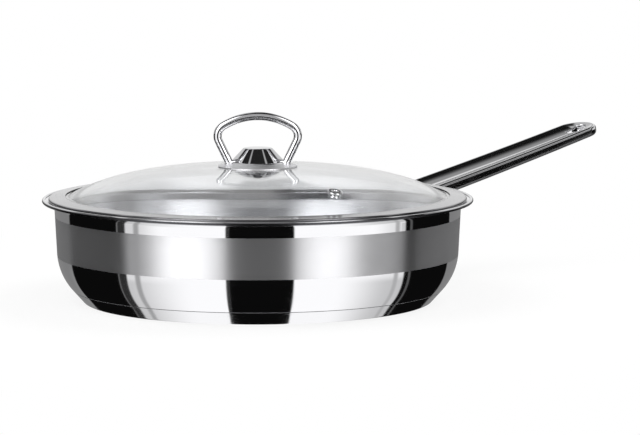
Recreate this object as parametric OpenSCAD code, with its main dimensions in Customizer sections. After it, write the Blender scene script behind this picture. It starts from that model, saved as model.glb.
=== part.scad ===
// Deep steel frying pan with a long hollow handle and a lift-off glass lid.
// Millimetres. Origin: centre of the flat foot. +X runs out along the handle, +Z is up.

/* [Pan] */
// Outer diameter of the rolled lip
lip_d = 297.2; // [240:1:340]
// Width of the flared rim, from the wall out to the lip
rim_w = 8.5; // [7:0.1:11]
// Height of the lip above the table
pan_h = 71.2; // [55:1:110]
// Sheet thickness of the drawn body
wall_t = 0.8; // [0.6:0.1:1.2]
// How far the wall leans outwards, in degrees
wall_draft = 2.8; // [0.5:0.1:5]
// Radius of the curve that turns the wall into the bottom
turn_r = 40; // [30:1:48]
// Height at which that curve begins
turn_h = 34; // [28:1:42]
// Inside radius of the bend under the flared rim
flare_r = 3; // [2:0.5:4]
// Rise of the flared rim, in degrees
flare_rise = 15; // [5:1:20]
// Radius of the rolled lip's bead
lip_r = 1.2; // [0.8:0.1:1.6]

/* [Base] */
// Height of the seam between the body and the base cap
seam_h = 9.2; // [8:0.1:12]
// Sheet thickness of the base cap
cap_t = 0.7; // [0.5:0.1:1]
// Thickness of the heat-spreading disc
disc_t = 5.2; // [4:0.1:6]
// Rounding of the cap where it meets the table
foot_r = 2.5; // [1:0.5:3.5]
// Open width of the seam
seam_gap = 0.6; // [0.2:0.1:1]
// Number of turned rings under the foot
foot_rings = 3; // [0:1:5]

/* [Handle] */
// Horizontal reach of the handle beyond the wall
handle_reach = 209; // [150:1:240]
// Width at the wall
handle_root_w = 35.2; // [29:0.1:38]
// Width at the round tip
handle_tip_w = 32; // [26:0.5:35]
// Depth of the handle's sides at the wall
handle_root_t = 8.6; // [7.6:0.1:11]
// Depth of the handle's sides at the tip
handle_tip_t = 6.9; // [6.2:0.1:9]
// Rise of the handle, in degrees
handle_rise = 10.4; // [5:0.1:14]
// How far the handle's middle hangs below a straight line
handle_bow = 0.7; // [0:0.1:3]
// How far the handle's top meets the wall below the lip
handle_drop = 7.8; // [7:0.1:14]
// Depth of the pressed dish along the top
dish_depth = 2.4; // [1:0.1:3]
// Sheet thickness of the handle
handle_sheet = 1.5; // [1.2:0.1:1.6]
// Rounding along the top edges
top_round = 2.2; // [1.8:0.1:3]
// Rounding of the rolled-in lower edges
low_round = 2.5; // [1.8:0.1:3]
// Length of the hanging slot
slot_l = 19; // [12:0.5:22]
// Width of the hanging slot
slot_w = 9; // [7:0.5:12]

/* [Bracket] */
// Width of the saddle plate that is welded to the wall
saddle_w = 43; // [38:1:50]
// Height of the saddle plate
saddle_h = 13.4; // [12:0.1:20]
// Thickness of the saddle plate
saddle_t = 2; // [1.5:0.1:3]
// Width of the tongue inside the handle
tongue_w = 22; // [14:1:26]
// Length of the tongue
tongue_l = 30; // [15:1:45]
// Thickness of the tongue
tongue_t = 3.6; // [2:0.1:4]

/* [Glass] */
// Free space between the glass edge and the band's skirt
glass_clear = 0.9; // [0.4:0.1:1.5]
// Thickness of the tempered glass
glass_t = 4; // [3:0.1:5]
// Radius of the shallow crown
crown_r = 515; // [400:5:700]
// Width of the flat glass between the fillet and the band's inner edge
glass_ledge = 1.5; // [0.5:0.1:4]
// Radius of the shoulder
shoulder_r = 30; // [20:1:40]
// Steepest slope of the shoulder, in degrees
shoulder_slope = 38; // [25:1:45]
// Straight stretch between the shoulder and the fillet at its foot
shoulder_straight = 1.2; // [0.2:0.1:2]
// Radius of the fillet at the foot of the shoulder
glass_fillet_r = 2.5; // [1.5:0.5:4]
// Clearance hole for the screw's collar
glass_hole_d = 8.2; // [7:0.1:10]
// Clearance hole for the vent
vent_hole_d = 6.2; // [5:0.1:8]

/* [Band] */
// Width of the pan's rim that shows outside the band
rim_show = 4.45; // [3:0.05:6]
// How far the band reaches over the glass
band_grip = 4.6; // [3:0.1:7]
// Sheet thickness of the band
band_t = 0.5; // [0.4:0.1:0.7]
// Radius of the band's rolled outer edge
roll_r = 1.35; // [1:0.1:1.6]
// Slope of the band's top, in degrees
band_slope = 5; // [2:0.1:8]
// Free space between the skirt and the pan's wall
skirt_clear = 0.9; // [0.7:0.1:1.5]
// Depth of the skirt below the band's lower leaf
skirt_h = 8; // [5:0.5:14]
// Height of the lid over the flared rim at rest
seat_gap = 0.3; // [0.2:0.1:0.6]

/* [Lid loop] */
// Diameter of the loop's rod
rod_d = 5.6; // [4:0.1:7]
// Overall width of the loop
loop_w = 60.9; // [50:0.1:70]
// Half angle of the top arc, in degrees
loop_top_half = 32; // [25:1:38]
// Radius of the loop's side bends, at the rod's centre
loop_side_r = 8.1; // [6:0.1:11]
// Lean of the legs, in degrees
leg_lean = 25.5; // [15:0.5:32]
// Distance between the feet of the legs
leg_foot_w = 39.8; // [34:0.1:44]
// Turn of the loop about the lid's axis, from the handle's direction, in degrees
lid_turn = -44; // [-180:1:180]

/* [Lid cap] */
// Diameter of the cap that carries the loop
bell_d = 54.6; // [48:0.1:64]
// Diameter of the cap's flat top
bell_top_d = 19.5; // [16:0.1:24]
// Height of the cap above its brim
bell_h = 12.3; // [9:0.1:16]
// Sheet thickness of the cap
bell_t = 0.8; // [0.6:0.1:1.5]
// Slope of the cap's side, in degrees
bell_side_slope = 47; // [40:1:60]
// Slope of the cap's brim, in degrees
bell_brim_slope = 17.5; // [8:0.5:22]
// Rounding of the cap's top edge
bell_round = 1.6; // [0.8:0.1:2.5]
// Fillet between the cap's side and brim
bell_fillet = 4; // [2:0.5:8]

/* [Lid fixing] */
// Diameter of the lid screw
screw_d = 4.8; // [4:0.1:6]
// Diameter of the screw's head
screw_head_d = 9.2; // [8:0.1:12]
// Height of the screw's head
screw_head_h = 2.8; // [2:0.1:4]
// Width across the flats of the welded nut
nut_w = 10; // [8:0.1:13]
// Diameter of the sealing washers
gasket_d = 18; // [14:0.5:22]
// Thickness of the sealing washers
gasket_t = 1.2; // [0.8:0.1:2]
// Diameter of the steel washer under the glass
washer_d = 22; // [18:0.5:30]
// Thickness of the steel washer
washer_t = 0.8; // [0.6:0.1:1.5]

/* [Vent] */
// Distance of the vent from the edge of the crown
vent_inset = 14.3; // [10:0.1:40]
// Direction of the vent from the loop's direction, in degrees
vent_turn = -60; // [-90:1:90]
// Diameter of the vent's upper flange
vent_d = 10.6; // [9:0.1:14]
// Diameter of the vent's lower flange
vent_low_d = 9; // [8:0.1:12]
// Diameter of the steam hole
vent_bore_d = 3.2; // [2:0.1:3.6]

/* [Hidden] */

// Facets of round shapes, and steps of a drawn arc
round_facets = 96;
arc_steps = 8;
// Steps of a tight fold
fold_steps = 5;
// Overrun of every cut
over = 1;
// Free space round a piece that passes through another
fit_gap = 0.1;

// Points of an arc from angle a0 to a1
function arc(c, r, a0, a1, n = arc_steps) =
    [for (i = [0:n]) c + r * [cos(a0 + (a1 - a0) * i / n), sin(a0 + (a1 - a0) * i / n)]];
// Direction of an angle
function dir(a) = [cos(a), sin(a)];
// The same points in the opposite order
function backwards(p) = [for (i = [len(p) - 1:-1:0]) p[i]];
// Unit vector across the step from p to q
function across(p, q) = let (v = q - p) [-v[1], v[0]] / norm(v);
// Shift of point i of path p that keeps a constant distance on both of its sides
function mitre(p, i) =
    let (a = across(p[max(i - 1, 0)], p[max(i, 1)]),
         b = across(p[min(i, len(p) - 2)], p[min(i + 1, len(p) - 1)]))
    (a + b) / (1 + a * b);
// Path p moved sideways by d, to its left
function beside(p, d) = [for (i = [0:len(p) - 1]) p[i] + d * mitre(p, i)];
// Closed outline of a sheet of thickness t whose middle follows path p
function sheet(p, t) = concat(beside(p, t / 2), backwards(beside(p, -t / 2)));

// A solid of revolution
module spun(points) { rotate_extrude($fn = round_facets) polygon(points); }

// The pan's wall: its outer radius at height z, below the flare
flare_start_r = lip_d / 2 - rim_w;
flange_start_x = flare_start_r + flare_r * cos(wall_draft) - (flare_r + wall_t / 2) * sin(flare_rise);
flange_l = (lip_d / 2 - lip_r - flange_start_x) / cos(flare_rise);
flare_start_h = pan_h - lip_r + flare_r * sin(wall_draft)
    - (flare_r + wall_t / 2) * cos(flare_rise) - flange_l * sin(flare_rise);
flare_c = [flare_start_r + flare_r * cos(wall_draft), flare_start_h - flare_r * sin(wall_draft)];
lip_c = [lip_d / 2 - lip_r, pan_h - lip_r];
function wall_r(z) = flare_start_r - (flare_start_h - z) * tan(wall_draft);

// The curve at the foot of the wall, and the seam on it
turn_c = [wall_r(turn_h) - turn_r * cos(wall_draft), turn_h + turn_r * sin(wall_draft)];
seam_a = asin((turn_c[1] - seam_h) / turn_r);
seam_p = turn_c + turn_r * dir(-seam_a);
base_h = cap_t + disc_t;
tucked_r = turn_r - cap_t;
corner_r = (turn_c[1] - tucked_r * sin(seam_a) - base_h) / (1 - sin(seam_a));
corner_c = turn_c + (tucked_r - corner_r) * dir(-seam_a);
inner_turn_r = tucked_r - wall_t;
inner_turn_c = turn_c + [cap_t, 0];
inner_corner_r = (turn_c[1] - inner_turn_r * sin(seam_a) - base_h - wall_t) / (1 - sin(seam_a));
inner_corner_c = inner_turn_c + (inner_turn_r - inner_corner_r) * dir(-seam_a);

function body_outside() = concat(
    [[0, base_h]],
    arc(corner_c, corner_r, -90, -seam_a),
    arc(turn_c, turn_r, -seam_a, -wall_draft, 2 * arc_steps),
    arc(flare_c, flare_r, 180 - wall_draft, 90 + flare_rise),
    [lip_c + wall_t / 2 * dir(flare_rise - 90)]);
function body_inside() = concat(
    [[0, base_h + wall_t]],
    arc(inner_corner_c, inner_corner_r, -90, -seam_a),
    arc(inner_turn_c, inner_turn_r, -seam_a, -wall_draft, 2 * arc_steps),
    arc(flare_c, flare_r + wall_t, 180 - wall_draft, 90 + flare_rise),
    [lip_c + wall_t / 2 * dir(flare_rise + 90)]);

// Drawn body: thin wall, curved foot, flared rim and rolled lip
module pan_body() {
    color("#c9cbce") rotate_extrude($fn = round_facets) {
        polygon(concat(body_outside(), backwards(body_inside())));
        translate(lip_c) circle(r = lip_r, $fn = round_facets);
    }
}

// The base cap's outline: a sloping side that carries on the wall's curve, down to a rounded foot
cap_slope = 90 - seam_a;
cap_top = seam_p + seam_gap * dir(180 + cap_slope);
cap_foot = [seam_p[0] - seam_h / tan(cap_slope), 0];
foot_c = [cap_foot[0] - foot_r * tan(cap_slope / 2), foot_r];
function cap_foot_arc(r) = arc(foot_c, r, -90, cap_slope - 90);
// Turned rings: their radii, as shares of the foot's radius
ring_shares = [0.3, 0.5, 0.7, 0.4, 0.6];
ring_w = 1.2;
ring_depth = 0.25;

// Steel capsule round the heat-spreading disc
module base_cap() {
    color("#c4c6c9") difference() {
        spun(concat([[0, 0]], cap_foot_arc(foot_r), [cap_top, cap_top - cap_t * dir(cap_slope - 90)],
                    backwards(cap_foot_arc(foot_r - cap_t)), [[0, cap_t]]));
        if (foot_rings > 0)
            for (i = [0:foot_rings - 1]) foot_ring(ring_shares[i] * foot_c[0]);
    }
}

// One turned ring under the foot
module foot_ring(r) {
    inner = r - ring_w;
    outer = r + ring_w;
    spun([[inner, -over], [outer, -over], [outer, 0], [r, ring_depth], [inner, 0]]);
}

// Aluminium disc, shut in between the body and the cap
module base_disc() {
    edge = foot_c + (foot_r - cap_t) * dir(cap_slope - 90);
    rise = base_h - edge[1];
    color("#b9bcc0")
        spun(concat([[0, cap_t]], cap_foot_arc(foot_r - cap_t),
                    [edge + [rise / tan(cap_slope), rise], [0, base_h]]));
}

// The handle has a frame of its own: x runs up along it, z = 0 is its top edge
handle_top_h = pan_h - handle_drop;
handle_l = handle_reach / cos(handle_rise);
tip_r = handle_tip_w / 2;
tip_x = handle_l - tip_r;
saddle_face_r = flare_start_r + saddle_t;
// Width of the flat land between the rounded edge and the dish
dish_land = 1;
// Flat middle of the dish, as a share of its half width
dish_flat_share = 0.12;
// How far the lower edges reach in past their rounding
low_lip = 0.6;
// How far the handle reaches back, to be cut to the saddle
root_back = 6;
// How far the hanging slot's middle lies beyond the tip's centre
slot_shift = 1;
straight_steps = 9;
tip_steps = 17;
dish_steps = 7;
round_steps = 4;

module in_handle_frame() {
    translate([flare_start_r, 0, handle_top_h]) rotate([0, -handle_rise, 0]) children();
}

function along_share(x) = x / tip_x;
function half_w(x) = handle_root_w / 2 + (handle_tip_w - handle_root_w) / 2 * along_share(x);
function side_t(x) = handle_root_t + (handle_tip_t - handle_root_t) * along_share(x);
// Sag of the middle below the straight line from the wall to the tip
function bow(x) = -4 * handle_bow * (x / handle_l) * (1 - x / handle_l);

// The sheet's section at half width w and side depth t, as [inset from the edge, height]:
// dish, rounded edge, side and rolled-in lip on one face; back holds the sheet's other face
function section_face(w, t, back) =
    let (c = w - top_round - dish_land, top_r = top_round - back, low_r = low_round - back)
    concat(
        [for (i = [0:dish_steps]) let (q = dish_flat_share + (1 - dish_flat_share) * i / dish_steps)
            [w - c * q, -dish_depth * (1 - q * q) - back]],
        [for (i = [0:round_steps]) let (b = 90 * i / round_steps)
            [top_round - top_r * sin(b), -top_round + top_r * cos(b)]],
        [for (i = [0:round_steps]) let (b = 90 * i / round_steps)
            [low_round - low_r * cos(b), low_round - t - low_r * sin(b)]],
        [[low_round + low_lip, back - t]]);
function section(w, t) = concat(section_face(w, t, 0), backwards(section_face(w, t, handle_sheet)));

// Stations of the outline, from the wall round the tip and back: [middle's x, half width, direction]
straight_xs = [for (i = [0:straight_steps]) -root_back + (tip_x + root_back) * i / straight_steps];
stations = concat(
    [for (x = straight_xs) [x, half_w(x), 90]],
    [for (i = [1:tip_steps - 1]) [tip_x, tip_r, 90 - 180 * i / tip_steps]],
    [for (x = backwards(straight_xs)) [x, half_w(x), -90]]);
function station_points(s) =
    [for (q = section(s[1], side_t(s[0])))
        let (x = s[0] + (s[1] - q[0]) * cos(s[2])) [x, (s[1] - q[0]) * sin(s[2]), q[1] + bow(x)]];

// One pressed sheet: each section is swept round the outline, and strips across it close the dish
module handle_sheet_metal() {
    n = len(section(tip_r, handle_tip_t));
    count = len(stations);
    half = count / 2 - 1;
    end = (count - 1) * n;
    polyhedron(
        points = [for (s = stations) each station_points(s)],
        faces = concat(
            [for (i = [0:count - 2]) for (j = [0:n - 2]) let (a = i * n + j, b = a + n)
                each [[a, a + 1, b + 1], [a, b + 1, b]]],
            [for (i = [0:half - 1]) let (a = i * n, b = end - a) [a, a + n, b - n, b]],
            [for (i = [0:half - 1]) let (a = i * n + n - 1, b = end - i * n + n - 1) [a, b, b - n, a + n]],
            [concat([for (j = [0:n - 1]) end + j], [for (j = [n - 1:-1:0]) j])]));
}

// Hanging slot, as a long hole with round ends
module slot_cut() {
    end = (slot_l - slot_w) / 2;
    deep = handle_root_t + handle_bow;
    translate([tip_x + slot_shift, 0, -deep]) {
        for (x = [-end, end]) translate([x, 0, 0]) cylinder(d = slot_w, h = 2 * deep, $fn = round_facets);
        translate([-end, -slot_w / 2, 0]) cube([2 * end, slot_w, 2 * deep]);
    }
}

// Long handle, pressed from one sheet: dished top, rounded edges, sides and rolled-in lower edges
module handle() {
    color("#c6c8cb") difference() {
        in_handle_frame() difference() {
            handle_sheet_metal();
            slot_cut();
        }
        cylinder(r = saddle_face_r, h = pan_h + handle_reach, $fn = 2 * round_facets);
    }
}

// Saddle plate on the wall with a tongue that the handle is pushed over
saddle_corner_r = 4;
saddle_top_h = flare_start_h - fit_gap;
module handle_bracket() {
    tongue_z = bow(tongue_l) - (dish_depth + handle_sheet + fit_gap + tongue_t);
    color("#bdbfc2") difference() {
        union() {
            intersection() {
                cylinder(r = saddle_face_r, h = pan_h, $fn = 2 * round_facets);
                translate([0, 0, saddle_top_h - saddle_h]) rotate([90, 0, 90])
                    linear_extrude(height = saddle_face_r + over) saddle_outline();
            }
            in_handle_frame() translate([0, -tongue_w / 2, tongue_z]) cube([tongue_l, tongue_w, tongue_t]);
        }
        rotate_extrude($fn = round_facets)
            polygon([[0, 0], [wall_r(0), 0], [wall_r(flare_start_h), flare_start_h], [0, flare_start_h]]);
    }
}
module saddle_outline() {
    w = saddle_w / 2 - saddle_corner_r;
    for (x = [-w, w]) for (y = [saddle_corner_r, saddle_h - saddle_corner_r])
        translate([x, y]) circle(r = saddle_corner_r, $fn = round_facets);
    translate([-w, 0]) square([2 * w, saddle_h]);
    translate([-w - saddle_corner_r, saddle_corner_r])
        square([2 * (w + saddle_corner_r), saddle_h - 2 * saddle_corner_r]);
}

// The lid rests on the flared rim: the band's rolled edge touches down first
roll_x = lip_d / 2 - rim_show - roll_r;
flange_top = flare_c + (flare_r + wall_t) * dir(90 + flare_rise);
roll_h = flange_top[1] + (roll_x - flange_top[0]) * tan(flare_rise) + (roll_r + seat_gap) / cos(flare_rise);
roll_mid_r = roll_r - band_t / 2;
// Top of the band at radius r
function band_top(r) = roll_h + roll_r / cos(band_slope) + (roll_x - r) * tan(band_slope);
skirt_outer_r = flare_start_r - wall_t - skirt_clear;
glass_r = skirt_outer_r - band_t - glass_clear;
band_inner_r = glass_r - band_grip;
glass_seat_h = band_top(band_inner_r) - band_t / cos(band_slope) - fit_gap / 2;

// The glass, from the apex out: crown, shoulder, fillet and the flat edge under the band
fillet_end_r = band_inner_r - glass_ledge;
shoulder_end_r = fillet_end_r - shoulder_straight * cos(shoulder_slope)
    - glass_fillet_r * (sin(shoulder_slope) - sin(band_slope));
// Radius at which the crown turns into the shoulder, with no kink between them
crown_end_r = (shoulder_end_r - shoulder_r * sin(shoulder_slope)) / (1 - shoulder_r / crown_r);
crown_slope = asin(crown_end_r / crown_r);
crown_fall = crown_r * (1 - cos(crown_slope));
shoulder_fall = shoulder_r * (cos(crown_slope) - cos(shoulder_slope));
fillet_fall = glass_fillet_r * (cos(band_slope) - cos(shoulder_slope));
apex_h = glass_seat_h + (band_inner_r - fillet_end_r) * tan(band_slope)
    + fillet_fall + shoulder_straight * sin(shoulder_slope) + shoulder_fall + crown_fall;
crown_c = [0, apex_h - crown_r];
shoulder_c = crown_c + (crown_r - shoulder_r) * dir(90 - crown_slope);
glass_fillet_c = shoulder_c + (shoulder_r + glass_fillet_r) * dir(90 - shoulder_slope)
    + shoulder_straight * dir(-shoulder_slope);
glass_edge = glass_fillet_c - glass_fillet_r * dir(90 - band_slope)
    + (glass_r - glass_t / 2 - fillet_end_r) / cos(band_slope) * dir(-band_slope);
// Height of the crown's face at depth d in the glass, at radius r
function crown_h(r, d) = crown_c[1] + sqrt(pow(crown_r - d, 2) - r * r);
// One face of the glass, at depth d below the top face
function glass_face(d) = concat(
    arc(crown_c, crown_r - d, 90, 90 - crown_slope, 2 * arc_steps),
    arc(shoulder_c, shoulder_r - d, 90 - crown_slope, 90 - shoulder_slope),
    arc(glass_fillet_c, glass_fillet_r + d, 270 - shoulder_slope, 270 - band_slope));

// Where the vent stands on the crown, and how far it leans
vent_lean = asin((crown_end_r - vent_inset) / crown_r);
module at_vent() {
    rotate([0, 0, lid_turn + vent_turn]) translate([0, 0, crown_c[1]]) rotate([0, vent_lean, 0])
        translate([0, 0, crown_r]) children();
}

// Tempered glass dome
module lid_glass() {
    edge_c = glass_edge - glass_t / 2 * dir(90 - band_slope);
    color([0.80, 0.86, 0.88, 0.45]) difference() {
        spun(concat(glass_face(0), arc(edge_c, glass_t / 2, 90 - band_slope, -90 - band_slope),
                    backwards(glass_face(glass_t))));
        translate([0, 0, apex_h - glass_t - over])
            cylinder(d = glass_hole_d, h = glass_t + 2 * over, $fn = round_facets);
        at_vent() translate([0, 0, -glass_t - over])
            cylinder(d = vent_hole_d, h = glass_t + 2 * over, $fn = round_facets);
    }
}

// Middle line of the band's sheet: top leaf, rolled edge, lower leaf, skirt and the hem that holds the glass
leaf_bend_r = 1.2;
hem_r = 0.7;
lip_bend_r = 0.9;
lip_w = 1.6;
skirt_r = skirt_outer_r - band_t / 2;
leaf_h = roll_h - roll_mid_r;
skirt_end_h = leaf_h - skirt_h;
hem_top_h = glass_seat_h - glass_t / cos(band_slope) - band_grip * tan(band_slope)
    - fit_gap - band_t / 2;
function band_path() = concat(
    [[band_inner_r, band_top(band_inner_r) - band_t / 2 / cos(band_slope)]],
    arc([roll_x, roll_h], roll_mid_r, 90 - band_slope, -90),
    arc([skirt_r + leaf_bend_r, leaf_h - leaf_bend_r], leaf_bend_r, 90, 180, fold_steps),
    arc([skirt_r - hem_r, skirt_end_h + hem_r], hem_r, 0, -180, fold_steps),
    arc([skirt_r - 2 * hem_r - lip_bend_r, hem_top_h - lip_bend_r], lip_bend_r, 0, 90, fold_steps),
    [[skirt_r - 2 * hem_r - lip_bend_r - lip_w, hem_top_h]]);

// Rolled steel band crimped round the glass
module lid_band() {
    color("#c8cacd") spun(sheet(band_path(), band_t));
}

// Steam vent: a flanged tube through the glass
vent_top_h = 1.7;
vent_low_h = 1.1;
module vent_eyelet() {
    bore = vent_bore_d / 2;
    tube = vent_hole_d / 2 - fit_gap;
    under = -glass_t - fit_gap - vent_low_h;
    flare = vent_top_h / 2;
    color("#b8babd") at_vent() rotate_extrude($fn = round_facets) difference() {
        union() {
            translate([0, under]) square([tube, fit_gap + vent_top_h - under]);
            rolled_flange(vent_d / 2, fit_gap, vent_top_h);
            rolled_flange(vent_low_d / 2, under, vent_low_h);
        }
        translate([0, under - over]) square([bore, vent_top_h - under + 2 * over]);
        polygon([[0, flare], [bore, flare], [bore + flare, 2 * flare], [bore + flare, 2 * flare + over],
                 [0, 2 * flare + over]]);
    }
}
// Half section of a flange of radius r and thickness t, with a round edge, standing on height z
module rolled_flange(r, z, t) {
    translate([0, z]) square([r - t / 2, t]);
    translate([r - t / 2, z + t / 2]) circle(d = t, $fn = round_facets);
}

// The cap that carries the loop: flat top, sloping side, fillet and a brim that lies along the glass
brim_h = crown_h(bell_d / 2, 0) + fit_gap + bell_t / cos(bell_brim_slope);
bell_top_h = brim_h + bell_h;
side_x = (bell_h + bell_top_d / 2 * tan(bell_side_slope) - bell_d / 2 * tan(bell_brim_slope))
    / (tan(bell_side_slope) - tan(bell_brim_slope));
side_p = [side_x, brim_h + (bell_d / 2 - side_x) * tan(bell_brim_slope)];
// Centre of a circle of radius r in the corner at p between slopes a (above) and b (below); up is 1 or -1
function corner_centre(p, r, a, b, up) =
    p + up * r / cos((a - b) / 2) * dir(90 - (a + b) / 2);
bell_fillet_c = corner_centre(side_p, bell_fillet, bell_side_slope, bell_brim_slope, 1);
bell_round_c = corner_centre([bell_top_d / 2, bell_top_h], bell_round, bell_side_slope, 0, -1);
function bell_outside() = concat(
    [[0, bell_top_h]],
    arc(bell_round_c, bell_round, 90, 90 - bell_side_slope, fold_steps),
    arc(bell_fillet_c, bell_fillet, 270 - bell_side_slope, 270 - bell_brim_slope, fold_steps),
    [[bell_d / 2, brim_h]]);

// Pressed cap
module loop_base() {
    color("#cfd1d4") spun(sheet(beside(bell_outside(), -bell_t / 2), bell_t));
}

// The loop's centre line, in its own upright plane: legs, side bends and a flat top arc
rod_r = rod_d / 2;
rod_facets = 24;
side_c_x = loop_w / 2 - rod_r - loop_side_r;
leg_l = (side_c_x + loop_side_r * cos(leg_lean) - leg_foot_w / 2) / sin(leg_lean);
// The legs' feet meet the brim at this height
foot_h = brim_h + (bell_d - leg_foot_w) / 2 * tan(bell_brim_slope);
side_c = [side_c_x, foot_h + leg_l * cos(leg_lean) + loop_side_r * sin(leg_lean)];
top_r = side_c_x / sin(loop_top_half) + loop_side_r;
top_c = [0, side_c[1] - (top_r - loop_side_r) * cos(loop_top_half)];
leg_end = side_c + loop_side_r * dir(-leg_lean) - (leg_l + rod_r) * dir(90 - leg_lean);
// Stops along one half of the rod and over the top: [place, direction of the bend's outside]
function bend_stops(c, r, a0, a1, n) = [for (i = [0:n]) let (a = a0 + (a1 - a0) * i / n) [c + r * dir(a), a]];
half_stops = concat([[leg_end, -leg_lean]],
                    bend_stops(side_c, loop_side_r, -leg_lean, 90 - loop_top_half, 2 * fold_steps));
top_stops = bend_stops(top_c, top_r, 90 - loop_top_half, 90 + loop_top_half, 2 * fold_steps);
loop_stops = concat(half_stops, [for (i = [1:len(top_stops) - 2]) top_stops[i]],
                    [for (q = backwards(half_stops)) [[-q[0][0], q[0][1]], 180 - q[1]]]);

// Round rod bent into a loop and welded to the cap's brim
module lid_loop() {
    n = rod_facets;
    count = len(loop_stops);
    color("#cccdd0") difference() {
        rotate([0, 0, lid_turn]) polyhedron(
            points = [for (q = loop_stops) for (j = [0:n - 1]) let (u = 360 * j / n, out = rod_r * cos(u))
                [q[0][0] + out * cos(q[1]), rod_r * sin(u), q[0][1] + out * sin(q[1])]],
            faces = concat(
                [[for (j = [n - 1:-1:0]) j]],
                [[for (j = [0:n - 1]) (count - 1) * n + j]],
                [for (i = [0:count - 2]) for (j = [0:n - 1]) let (a = i * n + j, b = i * n + (j + 1) % n)
                    each [[a, b, b + n], [a, b + n, a + n]]]));
        spun(concat(bell_outside(), [[bell_d / 2, brim_h - bell_h], [0, brim_h - bell_h]]));
    }
}

// Nut welded under the cap's top
nut_h = bell_top_h - bell_t - apex_h - gasket_t;
nut_base_h = apex_h + gasket_t;
nut_thread_share = 0.8;
module anchor_nut() {
    color("#aeb0b3") translate([0, 0, nut_base_h]) difference() {
        cylinder(d = nut_w / cos(30), h = nut_h, $fn = 6);
        translate([0, 0, -over])
            cylinder(d = screw_d + fit_gap, h = nut_h * nut_thread_share + over, $fn = round_facets);
    }
}

// Sealing washer on the glass, with a collar that lines the hole
under_h = crown_h(gasket_d / 2, glass_t) - fit_gap;
collar_d = glass_hole_d - 2 * fit_gap;
module upper_gasket() {
    color("#d8d6d0") difference() {
        union() {
            translate([0, 0, apex_h]) cylinder(d = gasket_d, h = gasket_t, $fn = round_facets);
            translate([0, 0, under_h])
                cylinder(d = collar_d, h = apex_h - under_h + gasket_t / 2, $fn = round_facets);
        }
        screw_way(under_h, apex_h + gasket_t);
    }
}
// Clearance hole for the screw, through what lies between two heights
module screw_way(from, to) {
    translate([0, 0, from - over])
        cylinder(d = screw_d + 2 * fit_gap, h = to - from + 2 * over, $fn = round_facets);
}

// Sealing washer under the glass
module under_gasket() {
    color("#d8d6d0") difference() {
        translate([0, 0, under_h - gasket_t]) cylinder(d = gasket_d, h = gasket_t, $fn = round_facets);
        screw_way(under_h - gasket_t, under_h);
    }
}

// Steel washer with a turned-down edge
washer_edge_h = 1.6;
module under_washer() {
    low = under_h - gasket_t - washer_edge_h;
    color("#c2c4c7") difference() {
        translate([0, 0, low]) cylinder(d = washer_d, h = washer_edge_h, $fn = round_facets);
        translate([0, 0, low - over])
            cylinder(d = washer_d - 2 * washer_t, h = washer_edge_h - washer_t + over, $fn = round_facets);
        screw_way(low, low + washer_edge_h);
    }
}

// Screw from below, with a domed head and a cross recess
recess_w = 1.1;
recess_l_share = 0.55;
recess_depth = 1.5;
screw_tip_gap = 1;
module lid_screw() {
    top = under_h - gasket_t - washer_t;
    tip = nut_base_h + nut_h * nut_thread_share - screw_tip_gap;
    low = top - screw_head_h;
    dome_r = (pow(screw_head_d / 2, 2) + pow(screw_head_h, 2)) / (2 * screw_head_h);
    color("#b5b7ba") difference() {
        union() {
            translate([0, 0, top - screw_head_h / 2])
                cylinder(d = screw_d, h = tip - top + screw_head_h / 2, $fn = round_facets);
            intersection() {
                translate([0, 0, low]) cylinder(d = screw_head_d, h = screw_head_h, $fn = round_facets);
                translate([0, 0, low + dome_r]) sphere(r = dome_r, $fn = round_facets);
            }
        }
        for (a = [0, 90]) rotate([0, 0, a])
            translate([-screw_head_d * recess_l_share / 2, -recess_w / 2, low - over])
                cube([screw_head_d * recess_l_share, recess_w, recess_depth + over]);
    }
}

pan_body();
base_disc();
base_cap();
handle_bracket();
handle();
lid_glass();
lid_band();
vent_eyelet();
loop_base();
lid_loop();
anchor_nut();
upper_gasket();
under_gasket();
under_washer();
lid_screw();
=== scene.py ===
"""Frying pan with a glass lid: the visible steel, glass and fixings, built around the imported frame.

Lengths are millimetres and angles degrees until a mesh is written, which turns lengths to metres.
Outlines of turned pieces are (radius, height) points. Every piece keeps its place in its mesh.
"""

import logging
import math
from dataclasses import dataclass, field
from enum import Enum

import bmesh
import bpy
import numpy as np
from mathutils import Matrix, Vector


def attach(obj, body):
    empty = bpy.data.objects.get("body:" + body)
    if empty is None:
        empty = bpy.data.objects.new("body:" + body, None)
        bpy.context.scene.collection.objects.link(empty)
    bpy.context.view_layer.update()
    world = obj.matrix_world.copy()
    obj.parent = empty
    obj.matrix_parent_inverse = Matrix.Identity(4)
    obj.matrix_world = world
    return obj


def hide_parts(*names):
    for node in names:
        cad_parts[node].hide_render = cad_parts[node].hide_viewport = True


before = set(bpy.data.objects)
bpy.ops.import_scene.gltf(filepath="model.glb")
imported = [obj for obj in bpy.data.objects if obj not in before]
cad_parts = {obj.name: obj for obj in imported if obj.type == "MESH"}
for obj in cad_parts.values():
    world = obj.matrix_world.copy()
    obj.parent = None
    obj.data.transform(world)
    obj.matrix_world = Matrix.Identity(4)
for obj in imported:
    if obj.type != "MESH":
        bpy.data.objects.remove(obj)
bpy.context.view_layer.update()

log = logging.getLogger("pan")
MM = 0.001
# Lengths and sines below this count as none
TINY = 1e-6
# Edges that turn by more degrees than this stay sharp
SHARP_ANGLE = 32.0
# The part of its range, 0 to 1, that a noise mostly fills
NOISE_LOW, NOISE_HIGH = 0.3, 0.7


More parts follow.
